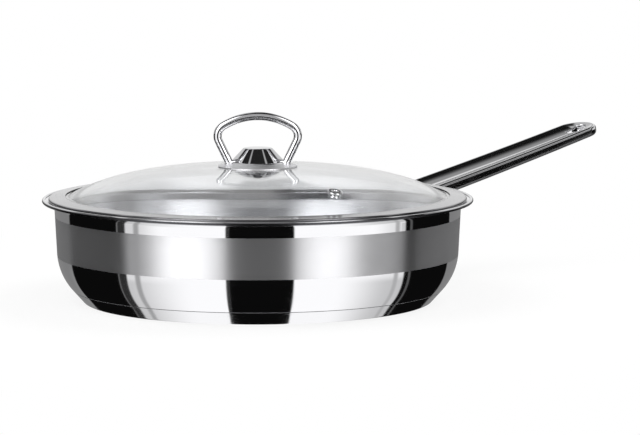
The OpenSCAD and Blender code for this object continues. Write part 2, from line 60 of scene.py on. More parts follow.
def linear(hex_colour: str) -> tuple[float, float, float, float]:
    """Turns an sRGB hex colour to linear red, green, blue and alpha.

    Args:
        hex_colour: six hex digits after a number sign.

    Returns:
        The four linear values, with alpha 1.
    """
    parts = [int(hex_colour[i:i + 2], 16) / 255 for i in (1, 3, 5)]
    red, green, blue = [p / 12.92 if p <= 0.04045 else ((p + 0.055) / 1.055) ** 2.4 for p in parts]
    return red, green, blue, 1.0


def add_node(tree: bpy.types.NodeTree, kind: str, links: dict | None = None,
             **settings: object) -> bpy.types.Node:
    """Adds a node with its settings and links.

    Args:
        tree: the node tree that gets the node.
        kind: the node's type name.
        links: input name or number to an output socket, or to the value set on that input.
        settings: the node's own properties.

    Returns:
        The new node.
    """
    node = tree.nodes.new(kind)
    for name, value in settings.items():
        setattr(node, name, value)
    for key, value in (links or {}).items():
        if isinstance(value, bpy.types.NodeSocket):
            tree.links.new(value, node.inputs[key])
        else:
            node.inputs[key].default_value = value
    return node


def direction(angle: float | np.ndarray) -> np.ndarray:
    """Unit vector (cos a, sin a) of an angle in degrees."""
    a = np.radians(angle)
    return np.stack([np.cos(a), np.sin(a)], axis=-1)


def cos(angle: float) -> float:
    """Cosine of an angle in degrees."""
    return math.cos(math.radians(angle))


def sin(angle: float) -> float:
    """Sine of an angle in degrees."""
    return math.sin(math.radians(angle))


def tan(angle: float) -> float:
    """Tangent of an angle in degrees."""
    return math.tan(math.radians(angle))


def angle_of(height: float, radius: float) -> float:
    """Angle in degrees whose sine is height / radius."""
    return math.degrees(math.asin(height / radius))


def arc(centre: np.ndarray, radius: float, start: float, end: float, step: float = 4.0) -> np.ndarray:
    """Points of an arc: centre + radius (cos a, sin a), with a going evenly from start to end.

    Args:
        centre: the circle's middle.
        radius: its radius.
        start: first angle in degrees.
        end: last angle in degrees.
        step: widest angle between two points.

    Returns:
        An array of points, one row each.
    """
    count = max(2, int(math.ceil(abs(end - start) / step)) + 1)
    return np.asarray(centre) + radius * direction(np.linspace(start, end, count))


def joined(*stretches: np.ndarray | list) -> np.ndarray:
    """Puts several stretches of points in a row, without repeated neighbours.

    Args:
        stretches: arrays or lists of points.

    Returns:
        One array of points.
    """
    points = np.concatenate([np.atleast_2d(np.asarray(s, float)) for s in stretches])
    keep = np.r_[True, np.linalg.norm(np.diff(points, axis=0), axis=1) > TINY]
    return points[keep]


def held(path: np.ndarray, reach: float = 0.25, longest: float = 2.0) -> np.ndarray:
    """Adds a point near both ends of every long straight step, which keeps flat stretches flat when shaded.

    Args:
        path: points in a row.
        reach: distance of the added points from the step's ends.
        longest: steps longer than this get the points.

    Returns:
        The path with the added points.
    """
    rows = [path[:1]]
    for a, b in zip(path[:-1], path[1:]):
        length = np.linalg.norm(b - a)
        share = reach / length
        rows.append(np.array([a + share * (b - a), b - share * (b - a), b]) if length > longest else b[None])
    return np.concatenate(rows)


def beside(path: np.ndarray, distance: float) -> np.ndarray:
    """Moves a path sideways to its left: each point shifts along the mitre of the two steps that meet there.

    The mitre is (n1 + n2) / (1 + n1 . n2), where n1 and n2 are the unit normals of the two steps.

    Args:
        path: points in a row.
        distance: how far to the left.

    Returns:
        The moved path.
    """
    steps = np.diff(path, axis=0)
    normals = np.stack([-steps[:, 1], steps[:, 0]], axis=1) / np.linalg.norm(steps, axis=1)[:, None]
    before = np.concatenate([normals[:1], normals])
    after = np.concatenate([normals, normals[-1:]])
    mitre = (before + after) / (1 + np.sum(before * after, axis=1))[:, None]
    return path + distance * mitre


def sheet(path: np.ndarray, thickness: float, edge_steps: int = 4) -> np.ndarray:
    """Outline of a bent sheet whose middle follows the path, with half-round edges.

    Args:
        path: the middle line.
        thickness: the sheet's thickness.
        edge_steps: steps of each half-round edge.

    Returns:
        A closed ring of points.
    """
    left, right = beside(path, thickness / 2), beside(path, -thickness / 2)
    ends = []
    for end, near in ((path[-1], path[-2]), (path[0], path[1])):
        dx, dy = end - near
        ahead = math.degrees(math.atan2(dy, dx))
        turn = np.linspace(-90, 90, edge_steps + 1)[1:-1]
        ends.append(end + thickness / 2 * direction(ahead + turn))
    return joined(right, ends[0], left[::-1], ends[1])


def make_mesh(name: str, points: np.ndarray, faces: list, bands: list | None = None) -> bpy.types.Object:
    """Makes an object of points in millimetres and faces, shaded smooth but for its sharp edges.

    Args:
        name: the piece's name.
        points: an array of x, y, z rows.
        faces: lists of point numbers.
        bands: each face's material number, or None for one material.

    Returns:
        The object, at the origin.
    """
    mesh = bpy.data.meshes.new(name)
    mesh.from_pydata((points * MM).tolist(), [], faces)
    if bands is not None:
        mesh.polygons.foreach_set("material_index", bands)
    mesh.shade_smooth()
    mesh.set_sharp_from_angle(angle=math.radians(SHARP_ANGLE))
    mesh.update()
    piece = bpy.data.objects.new(name, mesh)
    bpy.context.scene.collection.objects.link(piece)
    return piece


def turned(name: str, outline: np.ndarray, segments: int,
           bands: np.ndarray | None = None) -> bpy.types.Object:
    """Makes a piece by turning an outline about the Z axis.

    A point (r, z) goes to (r cos t, r sin t, z) for evenly spaced t. An outline that starts and ends on the
    axis closes there in two poles, and any other outline is a closed ring.

    Args:
        name: the piece's name.
        outline: (radius, height) points, in either sense.
        segments: steps of a full turn.
        bands: the material number of each step of the outline, in its order.

    Returns:
        The object.
    """
    on_axis = outline[0, 0] < TINY and outline[-1, 0] < TINY
    following = np.roll(outline, -1, axis=0)
    area = np.sum(outline[:, 0] * following[:, 1] - following[:, 0] * outline[:, 1])
    count = len(outline)
    steps = count - 1 if on_axis else count
    bands = np.zeros(steps, int) if bands is None else bands
    if area < 0:
        outline = outline[::-1]
        bands = bands[::-1] if on_axis else np.roll(bands[::-1], -1)
    turn = 2 * np.pi * np.arange(segments) / segments
    rings = np.stack([outline[:, :1] * np.cos(turn), outline[:, :1] * np.sin(turn),
                      np.repeat(outline[:, 1:], segments, axis=1)], axis=-1)
    number = np.arange(count * segments).reshape(count, segments)
    points = rings.reshape(-1, 3)
    if on_axis:
        number = number - (segments - 1)
        number[0], number[-1] = 0, (count - 2) * segments + 1
        points = np.concatenate([rings[:1, 0], rings[1:-1].reshape(-1, 3), rings[-1:, 0]])
    low, high = number[:steps], np.roll(number, -1, axis=0)[:steps]
    quads = np.stack([low, np.roll(low, -1, axis=1), np.roll(high, -1, axis=1), high], axis=-1)
    faces, face_bands = [], []
    for i in range(steps):
        rows = quads[i]
        if on_axis and i == 0:
            rows = rows[:, [0, 2, 3]]
        elif on_axis and i == steps - 1:
            rows = rows[:, [0, 1, 2]]
        faces += rows.tolist()
        face_bands += [int(bands[i])] * segments
    return make_mesh(name, points, faces, face_bands)


def placed(points: np.ndarray, turn: float, lean: float, pivot: float, reach: float) -> np.ndarray:
    """Leans points out from the Z axis and turns them about it.

    The points first move up by reach, then turn about Y by lean, move up to the pivot's height and turn
    about Z by turn.

    Args:
        points: rows of x, y, z.
        turn: degrees about Z.
        lean: degrees about Y.
        pivot: height of the point that the lean turns about.
        reach: distance of the local origin from that point.

    Returns:
        The moved points.
    """
    move = (Matrix.Rotation(math.radians(turn), 4, "Z") @ Matrix.Translation((0, 0, pivot))
            @ Matrix.Rotation(math.radians(lean), 4, "Y") @ Matrix.Translation((0, 0, reach)))
    m = np.array(move)
    return points @ m[:3, :3].T + m[:3, 3]


def cut_away(piece: bpy.types.Object, cutter: bpy.types.Object) -> None:
    """Cuts one closed mesh out of another and removes the cutter.

    Args:
        piece: the object that is cut.
        cutter: the object that is taken away from it.
    """
    modifier = piece.modifiers.new("cut", "BOOLEAN")
    modifier.operation = "DIFFERENCE"
    modifier.solver = "EXACT"
    modifier.object = cutter
    with bpy.context.temp_override(object=piece, active_object=piece, selected_objects=[piece]):
        bpy.ops.object.modifier_apply(modifier=modifier.name)
    bpy.data.objects.remove(cutter)


class Body(Enum):
    """The two bodies that come apart."""

    PAN = "pan"
    LID = "lid"


@dataclass(frozen=True)
class Finish:
    """A finish with a name and a colour. Each kind adds its own pattern."""

    name: str
    colour: str
    roughness: float

    def tree(self) -> tuple[bpy.types.Material, bpy.types.NodeTree, bpy.types.Node]:
        """Starts a material.

        Returns:
            The material, its empty node tree and its surface shader, linked to the output.
        """
        material = bpy.data.materials.new(self.name)
        material.use_nodes = True
        tree = material.node_tree
        tree.nodes.clear()
        shader = add_node(tree, "ShaderNodeBsdfPrincipled",
                          {"Base Color": linear(self.colour), "Roughness": self.roughness})
        add_node(tree, "ShaderNodeOutputMaterial", {"Surface": shader.outputs["BSDF"]})
        return material, tree, shader


class Grain(Enum):
    """How the lines of a steel finish run: round the axis, or along the handle."""

    ROUND = "round"
    ALONG = "along"


@dataclass(frozen=True)
class Steel(Finish):
    """Stainless steel, ground or buffed. The grit leaves fine lines and the buffing a faint cloudy haze.

    Real grit lines are 0.02 to 0.1 mm apart, too fine for a render, so line_pitch is as coarse as they need.
    """

    line_pitch: float = 0.6
    line_depth: float = 0.0
    line_spread: float = 0.02
    line_detail: float = 3.0
    haze_size: float = 22.0
    haze_spread: float = 0.015
    haze_detail: float = 2.0
    stretch: float = 60.0
    brushing: float = 0.0
    brushing_turn: float = 0.25
    grain: Grain = Grain.ROUND

    def material(self) -> bpy.types.Material:
        """Makes the metal: lines change roughness and height, haze changes roughness.

        Returns:
            The material.
        """
        material, tree, shader = self.tree()
        shader.inputs["Metallic"].default_value = 1.0
        if self.brushing:
            shader.inputs["Anisotropic"].default_value = self.brushing
            shader.inputs["Anisotropic Rotation"].default_value = self.brushing_turn
            round_axis = add_node(tree, "ShaderNodeTangent", direction_type="RADIAL", axis="Z")
            tree.links.new(round_axis.outputs["Tangent"], shader.inputs["Tangent"])
        place = add_node(tree, "ShaderNodeTexCoord").outputs["Object"]
        lines = self.lines(tree, place)
        haze = add_node(tree, "ShaderNodeTexNoise",
                        {"Vector": place, "Scale": 1 / (self.haze_size * MM), "Detail": self.haze_detail})
        line_shift = add_node(tree, "ShaderNodeMapRange",
                              {"Value": lines, "From Min": NOISE_LOW, "From Max": NOISE_HIGH,
                               "To Min": -self.line_spread, "To Max": self.line_spread})
        haze_shift = add_node(tree, "ShaderNodeMapRange",
                              {"Value": haze.outputs["Fac"], "From Min": NOISE_LOW, "From Max": NOISE_HIGH,
                               "To Min": self.roughness - self.haze_spread,
                               "To Max": self.roughness + self.haze_spread})
        total = add_node(tree, "ShaderNodeMath",
                         {0: line_shift.outputs["Result"], 1: haze_shift.outputs["Result"]}, operation="ADD")
        tree.links.new(total.outputs["Value"], shader.inputs["Roughness"])
        if self.line_depth:
            bump = add_node(tree, "ShaderNodeBump",
                            {"Height": lines, "Distance": self.line_depth * MM, "Strength": 1.0})
            tree.links.new(bump.outputs["Normal"], shader.inputs["Normal"])
        return material

    def lines(self, tree: bpy.types.NodeTree, place: bpy.types.NodeSocket) -> bpy.types.NodeSocket:
        """Noise that is fine across the lines and long along them.

        Round lines use (radius + height, x, y) as the noise's place, so they run round walls and floors
        alike. Lines along the handle use (y + z, x) instead.

        Args:
            tree: the material's tree.
            place: object coordinates in metres.

        Returns:
            The noise's value socket.
        """
        split = add_node(tree, "ShaderNodeSeparateXYZ", {0: place}).outputs
        across, along = 1 / (self.line_pitch * MM), 1 / (self.line_pitch * self.stretch * MM)
        if self.grain is Grain.ROUND:
            flat = add_node(tree, "ShaderNodeCombineXYZ", {"X": split["X"], "Y": split["Y"]})
            radius = add_node(tree, "ShaderNodeVectorMath", {0: flat.outputs[0]}, operation="LENGTH")
            fine = add_node(tree, "ShaderNodeMath", {0: radius.outputs["Value"], 1: split["Z"]},
                            operation="ADD")
            vector = add_node(tree, "ShaderNodeCombineXYZ",
                              {"X": fine.outputs[0], "Y": split["X"], "Z": split["Y"]})
        else:
            fine = add_node(tree, "ShaderNodeMath", {0: split["Y"], 1: split["Z"]}, operation="ADD")
            vector = add_node(tree, "ShaderNodeCombineXYZ", {"X": fine.outputs[0], "Y": split["X"]})
        scaled = add_node(tree, "ShaderNodeVectorMath",
                          {0: vector.outputs[0], 1: (across, along, along)}, operation="MULTIPLY")
        noise = add_node(tree, "ShaderNodeTexNoise",
                         {"Vector": scaled.outputs[0], "Scale": 1.0, "Detail": self.line_detail})
        return noise.outputs["Fac"]


@dataclass(frozen=True)
class Glass(Finish):
    """Tempered soda-lime glass, float smooth, with a very faint waviness from the bending."""

    ior: float = 1.52
    wave_size: float = 30.0
    wave_depth: float = 0.004

    def material(self) -> bpy.types.Material:
        """Makes the glass.

        Returns:
            The material.
        """
        material, tree, shader = self.tree()
        shader.inputs["Transmission Weight"].default_value = 1.0
        shader.inputs["IOR"].default_value = self.ior
        place = add_node(tree, "ShaderNodeTexCoord").outputs["Object"]
        wave = add_node(tree, "ShaderNodeTexNoise", {"Vector": place, "Scale": 1 / (self.wave_size * MM)})
        bump = add_node(tree, "ShaderNodeBump",
                        {"Height": wave.outputs["Fac"], "Distance": self.wave_depth * MM, "Strength": 1.0})
        tree.links.new(bump.outputs["Normal"], shader.inputs["Normal"])
        return material


@dataclass(frozen=True)
class Silicone(Finish):
    """Moulded translucent silicone: a soft sheen with a fine matt bloom."""

    glow: float = 0.15
    glow_depth: float = 0.6
    bloom_size: float = 0.8
    bloom_spread: float = 0.1

    def material(self) -> bpy.types.Material:
        """Makes the rubber.

        Returns:
            The material.
        """
        material, tree, shader = self.tree()
        shader.inputs["Subsurface Weight"].default_value = self.glow
        shader.inputs["Subsurface Scale"].default_value = self.glow_depth * MM
        place = add_node(tree, "ShaderNodeTexCoord").outputs["Object"]
        bloom = add_node(tree, "ShaderNodeTexNoise", {"Vector": place, "Scale": 1 / (self.bloom_size * MM)})
        rough = add_node(tree, "ShaderNodeMapRange",
                         {"Value": bloom.outputs["Fac"], "To Min": self.roughness - self.bloom_spread,
                          "To Max": self.roughness + self.bloom_spread})
        tree.links.new(rough.outputs["Result"], shader.inputs["Roughness"])
        return material


# Buffed to a mirror: crisp reflections, with hardly any haze
POLISHED = Steel("mirror_polished_stainless_steel", "#E0E0E2", 0.04, line_depth=0.00005, line_spread=0.012)
# Rod drawn and then polished: bright, a little softer than a mirror
ROD_STEEL = Steel("drawn_polished_stainless_rod", "#D8D8DA", 0.09, line_pitch=2.0, line_spread=0.01)
# Brushed round the wall with a fine belt: what it mirrors smears into a soft sheen with upright bands
SATIN = Steel("satin_brushed_stainless_steel", "#C6C6C8", 0.36, line_pitch=0.15, line_spread=0.05,
              brushing=1.0)
# Brushed round while it spins, inside the pan: pale and milky, with soft upright bands
SPUN = Steel("spun_brushed_stainless_steel", "#F4F4F6", 0.30, line_pitch=0.3, line_spread=0.05, brushing=1.0)
# Turned and polished: close to a mirror, with faint rings in the gloss
CAPSULE = Steel("turned_polished_stainless_steel", "#DCDCDE", 0.06, line_pitch=0.9, line_spread=0.03)
# Painted shade: dull dark grey steel, rougher than the wall, laid where only shade and dark reflections fall
# (under the pan's rim, under the band's roll and at the band's inner edge) as a dark line
RIM_PAINTED_SHADE = Steel("painted_shade_dull_steel", "#4C4C4F", 0.22, line_pitch=0.4, line_spread=0.05)
# Pressed, then buffed along its length: close to a mirror, with long straight reflections
HANDLE_STEEL = Steel("buffed_pressed_stainless_steel", "#DEDEE0", 0.07, line_pitch=0.5, line_spread=0.004,
                     grain=Grain.ALONG)
# Finely brushed brim: pale and even, without clear reflections
BRIM_STEEL = Steel("fine_satin_stainless_steel", "#EEEEF0", 0.38, line_pitch=0.2, line_spread=0.03)
# Brushed, with painted shade: a darker grey copy of the handle's steel on the lower rounded edge, where the
# sheet turns under, shows as a soft grey line along it
HANDLE_UNDER_SHADE = Steel("painted_shade_handle_under_edge", "#9C9C9E", 0.38, line_pitch=0.5, grain=Grain.ALONG)
# Rolled strip, finely ground: mirrors softly, a little darker than the wall
BAND_STEEL = Steel("fine_ground_rolled_stainless_steel", "#ACACAE", 0.14, line_pitch=0.3, line_spread=0.04)
# As the mill leaves it: bright, with a soft blur and fine lines
PLAIN_STEEL = Steel("plain_bright_stainless_steel", "#CFCFD1", 0.18, line_pitch=0.4, line_depth=0.001)
# Sheared edge of a sheet: matt, with no reflections
RAW_EDGE = Steel("matt_cut_stainless_edge", "#B4B4B6", 0.55, line_pitch=0.3, line_spread=0.05)
# Rolled aluminium plate: pale, with a soft sheen and fine lines
ALUMINIUM = Steel("rolled_aluminium", "#D2D4D6", 0.30, line_depth=0.002)
# Float glass, bent and tempered: clear and colourless, with sharp reflections
GLASS = Glass("clear_tempered_glass", "#FDFEFF", 0.0)
# Silicone from a mould: a soft, slightly glowing off-white with a matt bloom
SILICONE = Silicone("moulded_translucent_silicone", "#DAD8D0", 0.45)


@dataclass
class Piece:
    """What every sub-assembly does with a finished object: dress it, hand it to its body and log it."""

    body: Body
    merge_gap: float = 0.001
    flat_angle: float = 0.5
    fixing_angle: float = 28.0

    def hand_over(self, piece: bpy.types.Object, finishes: list, slot: str, *nodes: str) -> bpy.types.Object:
        """Dresses a piece and ties it to the frame.

        Args:
            piece: the finished object.
            finishes: its materials, in the order of its faces' numbers.
            slot: not used.
            nodes: the solids that it stands for.

        Returns:
            The same object.
        """
        for finish in finishes:
            piece.data.materials.append(finish)
        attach(piece, self.body.value)
        if nodes:
            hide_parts(*nodes)
        log.info("%s: %d faces, for %s", piece.name, len(piece.data.polygons), ", ".join(nodes) or "no solid")
        return piece

    def merged_copy(self, node: str, name: str) -> bpy.types.Object:
        """Copies a small solid from the frame and merges its loose triangles, so that it shades smooth.

        Args:
            node: the solid's name.
            name: the new piece's name.

        Returns:
            The new object.
        """
        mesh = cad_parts[node].data.copy()
        mesh.name = name
        mesh.materials.clear()
        shape = bmesh.new()
        shape.from_mesh(mesh)
        bmesh.ops.remove_doubles(shape, verts=shape.verts, dist=self.merge_gap * MM)
        bmesh.ops.dissolve_limit(shape, angle_limit=math.radians(self.flat_angle), verts=shape.verts,
                                 edges=shape.edges)
        shape.to_mesh(mesh)
        shape.free()
        mesh.shade_smooth()
        mesh.set_sharp_from_angle(angle=math.radians(self.fixing_angle))
        piece = bpy.data.objects.new(name, mesh)
        bpy.context.scene.collection.objects.link(piece)
        return piece


@dataclass
class Pan(Piece):
    """Drawn body, base cap and bracket of the pan.

    The step fields are the widest angles between two points of the arcs that they name.
    """

    body: Body = Body.PAN
    lip_d: float = 297.2
    wall_d: float = 280.2
    height: float = 71.2
    wall_t: float = 0.8
    wall_draft: float = 2.8
    turn_r: float = 40.0
    turn_h: float = 34.0
    flare_r: float = 3.0
    flare_rise: float = 15.0
    lip_r: float = 1.2
    seam_h: float = 9.2
    seam_gap: float = 0.6
    cap_t: float = 0.7
    disc_t: float = 5.2
    foot_r: float = 2.5
    satin_low: float = 32.0
    satin_high: float = 59.6
    ring_shares: tuple = (0.3, 0.5, 0.7)
    ring_w: float = 1.2
    ring_depth: float = 0.25
    segments: int = 288
    wall_step: float = 2.0
    satin_step: float = 1.5
    flare_step: float = 8.0
    lip_step: float = 15.0
    foot_step: float = 6.0
    # Painted shade: the rim's underside gets the dark dull steel between these directions, on the flare and
    # on the rolled lip
    shade_paint_from: float = 120.0
    shade_paint_to: float = 30.0
    ring_points: int = 9

    def __post_init__(self) -> None:
        """Works out the profile's centres from the driving sizes."""
        d, f, rise = self.wall_draft, self.flare_r, self.flare_rise
        self.flare_start_r = self.wall_d / 2
        start_x = self.flare_start_r + f * cos(d) - (f + self.wall_t / 2) * sin(rise)
        flange = (self.lip_d / 2 - self.lip_r - start_x) / cos(rise)
        self.flare_start_h = (self.height - self.lip_r + f * sin(d) - (f + self.wall_t / 2) * cos(rise)
                              - flange * sin(rise))
        self.flare_c = np.array([self.flare_start_r + f * cos(d), self.flare_start_h - f * sin(d)])
        self.lip_c = np.array([self.lip_d / 2 - self.lip_r, self.height - self.lip_r])
        self.turn_c = np.array([self.wall_r(self.turn_h) - self.turn_r * cos(d),
                                self.turn_h + self.turn_r * sin(d)])
        self.seam_a = angle_of(self.turn_c[1] - self.seam_h, self.turn_r)
        self.seam_p = self.turn_c + self.turn_r * direction(-self.seam_a)
        self.base_h = self.cap_t + self.disc_t
        tucked = self.turn_r - self.cap_t
        s = sin(self.seam_a)
        self.corner_r = (self.turn_c[1] - tucked * s - self.base_h) / (1 - s)
        self.corner_c = self.turn_c + (tucked - self.corner_r) * direction(-self.seam_a)
        self.inner_r = tucked - self.wall_t
        self.inner_c = self.turn_c + np.array([self.cap_t, 0])
        self.inner_corner_r = (self.turn_c[1] - self.inner_r * s - self.base_h - self.wall_t) / (1 - s)
        self.inner_corner_c = self.inner_c + (self.inner_r - self.inner_corner_r) * direction(-self.seam_a)
        self.cap_slope = 90 - self.seam_a
        self.cap_top = self.seam_p + self.seam_gap * direction(180 + self.cap_slope)
        foot_x = self.seam_p[0] - self.seam_h / tan(self.cap_slope)
        self.foot_c = np.array([foot_x - self.foot_r * tan(self.cap_slope / 2), self.foot_r])

    def wall_r(self, height: float) -> float:
        """Outer radius of the drafted wall at a height."""
        return self.flare_start_r - (self.flare_start_h - height) * tan(self.wall_draft)

    def flange_top(self, radius: float) -> float:
        """Height of the flared rim's upper face at a radius."""
        start = self.flare_c + (self.flare_r + self.wall_t) * direction(90 + self.flare_rise)
        return start[1] + (radius - start[0]) * tan(self.flare_rise)

    def build_body(self) -> bpy.types.Object:
        """Turns the drawn body: curved foot, drafted wall, flare and rolled lip, then back down the inside.

        The outline runs in six stretches, each with the number of its finish.

        Returns:
            The body.
        """
        d, rise = self.wall_draft, self.flare_rise
        low_a = angle_of(self.turn_c[1] - self.satin_low, self.turn_r)
        meet = angle_of(self.wall_t / 2, self.lip_r)
        shade_paint_to = 360 + self.shade_paint_to
        foot = joined([[0, self.base_h]], arc(self.corner_c, self.corner_r, -90, -self.seam_a),
                      arc(self.turn_c, self.turn_r, -self.seam_a, -low_a, self.wall_step))
        satin = joined(arc(self.turn_c, self.turn_r, -low_a, -d, self.satin_step),
                       [[self.wall_r(self.satin_high), self.satin_high]])
        upper = joined(satin[-1:], arc(self.flare_c, self.flare_r, 180 - d, self.shade_paint_from, self.flare_step))
        # The flare's underside and the lip's lower outer half are painted shade: dark steel for the dark line
        # under the rim
        under = joined(upper[-1:],
                       arc(self.flare_c, self.flare_r, self.shade_paint_from, 90 + rise, self.flare_step),
                       arc(self.lip_c, self.lip_r, 180 + rise + meet, shade_paint_to, self.lip_step))
        lip = joined(under[-1:], arc(self.lip_c, self.lip_r, shade_paint_to, 540 + rise - meet, self.lip_step))
        inside = joined(lip[-1:],
                        arc(self.flare_c, self.flare_r + self.wall_t, 90 + rise, 180 - d, self.flare_step),
                        arc(self.inner_c, self.inner_r, -d, -self.seam_a, self.wall_step),
                        arc(self.inner_corner_c, self.inner_corner_r, -self.seam_a, -90),
                        [[0, self.base_h + self.wall_t]])
        stretches = [(held(foot), 0), (held(satin), 1), (held(upper), 0), (held(under), 3), (held(lip), 0),
                     (held(inside), 2)]
        bands = np.concatenate([np.full(len(s) - 1, band) for s, band in stretches])
        outline = np.concatenate([stretches[0][0]] + [s[1:] for s, _ in stretches[1:]])
        piece = turned("pan_body_drawn", outline, self.segments, bands)
        finishes = [POLISHED.material(), SATIN.material(), SPUN.material(), RIM_PAINTED_SHADE.material()]
        return self.hand_over(piece, finishes, "pan_steel", "pan_body")

    def build_cap(self) -> bpy.types.Object:
        """Turns the base cap: flat foot with shallow turned rings, rounded corner and sloping side.

        Returns:
            The cap.
        """
        rings = []
        for share in sorted(self.ring_shares):
            r = share * self.foot_c[0]
            shares = np.linspace(-1, 1, self.ring_points)
            depth = self.ring_depth * (1 - np.abs(shares))
            rings.append(np.stack([r + self.ring_w * shares, depth], axis=1))
        side = direction(self.cap_slope - 90)
        outer = arc(self.foot_c, self.foot_r, -90, self.cap_slope - 90, self.foot_step)
        inner = arc(self.foot_c, self.foot_r - self.cap_t, self.cap_slope - 90, -90, self.foot_step)
        outside = held(joined([[0, 0]], *rings, outer, [self.cap_top]))
        cut = self.cap_top - self.cap_t * side
        outline = joined(outside, [cut], held(joined([cut], inner, [[0, self.cap_t]])))
        bands = np.zeros(len(outline) - 1, int)
        bands[len(outside) - 1] = 1
        piece = turned("base_cap_pressed", outline, self.segments, bands)
        return self.hand_over(piece, [CAPSULE.material(), RAW_EDGE.material()], "base_steel", "base_cap")

    def build_hidden(self) -> None:
        """Dresses the aluminium disc and the bracket that carries the handle."""
        disc = self.merged_copy("base_disc", "base_disc_rolled")
        self.hand_over(disc, [ALUMINIUM.material()], "aluminium_core", "base_disc")
        bracket = self.merged_copy("handle_bracket", "handle_bracket_plate")
        self.hand_over(bracket, [PLAIN_STEEL.material()], "bracket_steel", "handle_bracket")

    def build(self) -> None:
        """Builds every piece of the pan but the handle."""
        self.build_body()
        self.build_cap()
        self.build_hidden()


@dataclass
class Handle(Piece):
    """Long handle, one pressed sheet: dished top, rounded edges, sides and rolled-in lower edges."""

    pan: Pan = field(default_factory=Pan)
    body: Body = Body.PAN
    reach: float = 209.0
    root_w: float = 35.2
    tip_w: float = 32.0
    root_t: float = 8.6
    tip_t: float = 6.9
    rise: float = 10.4
    bow: float = 0.7
    drop: float = 7.8
    dish_depth: float = 2.4
    dish_land: float = 1.0
    gauge: float = 1.5
    top_round: float = 2.2
    low_round: float = 2.5
    low_lip: float = 0.6
    saddle_t: float = 2.0
    slot_l: float = 19.0
    slot_w: float = 9.0
    slot_shift: float = 1.0
    slot_round: float = 0.5
    straight_steps: int = 56
    tip_steps: int = 91
    dish_steps: int = 40
    round_steps: int = 9
    ease_steps: int = 4
    slot_end_steps: int = 8
    slot_side_steps: int = 3
    # Stations just before the slot, in roundings of its edge, with the last even one first
    lead: float = 3.0
    lead_shares: tuple = (2, 1.5, 1, 0.75, 0.5, 0.25)
    # Power that draws the points of the dish towards its middle
    dish_power: float = 1.5
    middle_gap: float = 0.002

    def __post_init__(self) -> None:
        """Works out the length and the tip's place."""
        self.length = self.reach / cos(self.rise)
        self.tip_r = self.tip_w / 2
        self.tip_x = self.length - self.tip_r
        self.near_end = self.tip_x + self.slot_shift - self.slot_l / 2

    def slot_share(self, angle: np.ndarray, x0: np.ndarray, wider: float) -> np.ndarray:
        """Distance from each station's origin, along its section, to the edge of the hanging slot.

        The slot is a strip with round ends. A station beside it meets the strip's side or its near round end,
        and a station of the round tip meets the side at half_w / |sin t| or the far end's circle.

        Args:
            angle: direction of each section, in radians.
            x0: each section's origin along the handle.
            wider: how much wider than the slot the edge lies.

        Returns:
            The distances, 0 where a section misses the slot.
        """
        half = self.slot_w / 2 + wider
        end = (self.slot_l - self.slot_w) / 2
        near, far = self.slot_shift - end, self.slot_shift + end
        short = np.minimum(x0 - self.tip_x - near, 0.0)
        beside_slot = np.sqrt(np.maximum(half ** 2 - short ** 2, 0.0))
        ahead, aside = np.cos(angle), np.abs(np.sin(angle))
        side = half / np.maximum(aside, TINY)
        round_end = far * ahead + np.sqrt(np.maximum(half ** 2 - (far * aside) ** 2, 0.0))
        at_tip = np.where(side * ahead <= far, side, round_end)
        return np.where(ahead > TINY, at_tip, beside_slot)

    def section(self, half_w: np.ndarray, side_t: np.ndarray, eased: np.ndarray,
                cut: np.ndarray) -> tuple[np.ndarray, np.ndarray]:
        """Section of the sheet as distance out from the middle and height, for every station at once.

        The dish is a parabola: its depth is dish_depth (1 - q^2), with q the distance from the middle as a
        share of the dish's half width. The rounded edges are quarter circles, and the lip ends the sheet. At
        the slot the dish starts with a quarter round that eases the slot's edge.

        Args:
            half_w: half width at each station.
            side_t: depth of the sides at each station.
            eased: distance from the middle where the dish starts.
            cut: distance from the middle where the slot's wall stands.

        Returns:
            Distances and heights, one row a station: the outer face, then the inner face back to the middle.
        """
        quarter = np.radians(np.linspace(0, 90, self.round_steps + 1))
        spread = np.linspace(0, 1, self.dish_steps + 1) ** self.dish_power
        half = half_w[:, None]
        dish_half = half - self.top_round - self.dish_land
        side = side_t[:, None]
        ones = np.ones_like(side)
        ease = np.radians(np.linspace(90, 0, self.ease_steps + 1))[:-1]
        rows = []
        for back in (0.0, self.gauge):
            start = (eased if back == 0 else cut)[:, None]
            q = (start + (dish_half - start) * spread) / dish_half
            top, low = self.top_round - back, self.low_round - back
            rows.append((np.concatenate([dish_half * q,
                                         half - self.top_round + top * np.sin(quarter),
                                         half - self.low_round + low * np.cos(quarter),
                                         half - self.low_round - self.low_lip * ones], axis=1),
                         np.concatenate([-self.dish_depth * (1 - q * q) - back,
                                         ones * (-self.top_round + top * np.cos(quarter)),
                                         self.low_round - side - low * np.sin(quarter),
                                         back - side], axis=1)))
        (out, height), (out_in, height_in) = rows
        drop = np.minimum(eased - cut, self.slot_round)[:, None]
        ease_out = cut[:, None] + (eased - cut)[:, None] * (1 - np.sin(ease))
        ease_height = height[:, :1] - drop * (1 - np.cos(ease))
        return (np.hstack([ease_out, out, out_in[:, ::-1]]),
                np.hstack([ease_height, height, height_in[:, ::-1]]))

    def stations(self) -> tuple[np.ndarray, np.ndarray]:
        """Places the sections up one side, round the tip and back, closer together at the slot's ends.

        Returns:
            Each section's origin along the handle, and its direction in degrees.
        """
        near_end, half_slot = self.near_end, self.slot_w / 2
        swing = np.linspace(0, 90, self.slot_end_steps + 1)
        xs = np.concatenate([np.linspace(0, near_end - self.lead * self.slot_round, self.straight_steps + 1),
                             near_end - self.slot_round * np.array(self.lead_shares),
                             near_end + half_slot * (1 - np.cos(np.radians(swing))),
                             np.linspace(near_end + half_slot, self.tip_x, self.slot_side_steps + 1)[1:]])
        turn = np.linspace(90, -90, self.tip_steps + 1)[1:-1]
        x0 = np.concatenate([xs, np.full(len(turn), self.tip_x), xs[::-1]])
        return x0, np.concatenate([np.full(len(xs), 90), turn, np.full(len(xs), -90)])

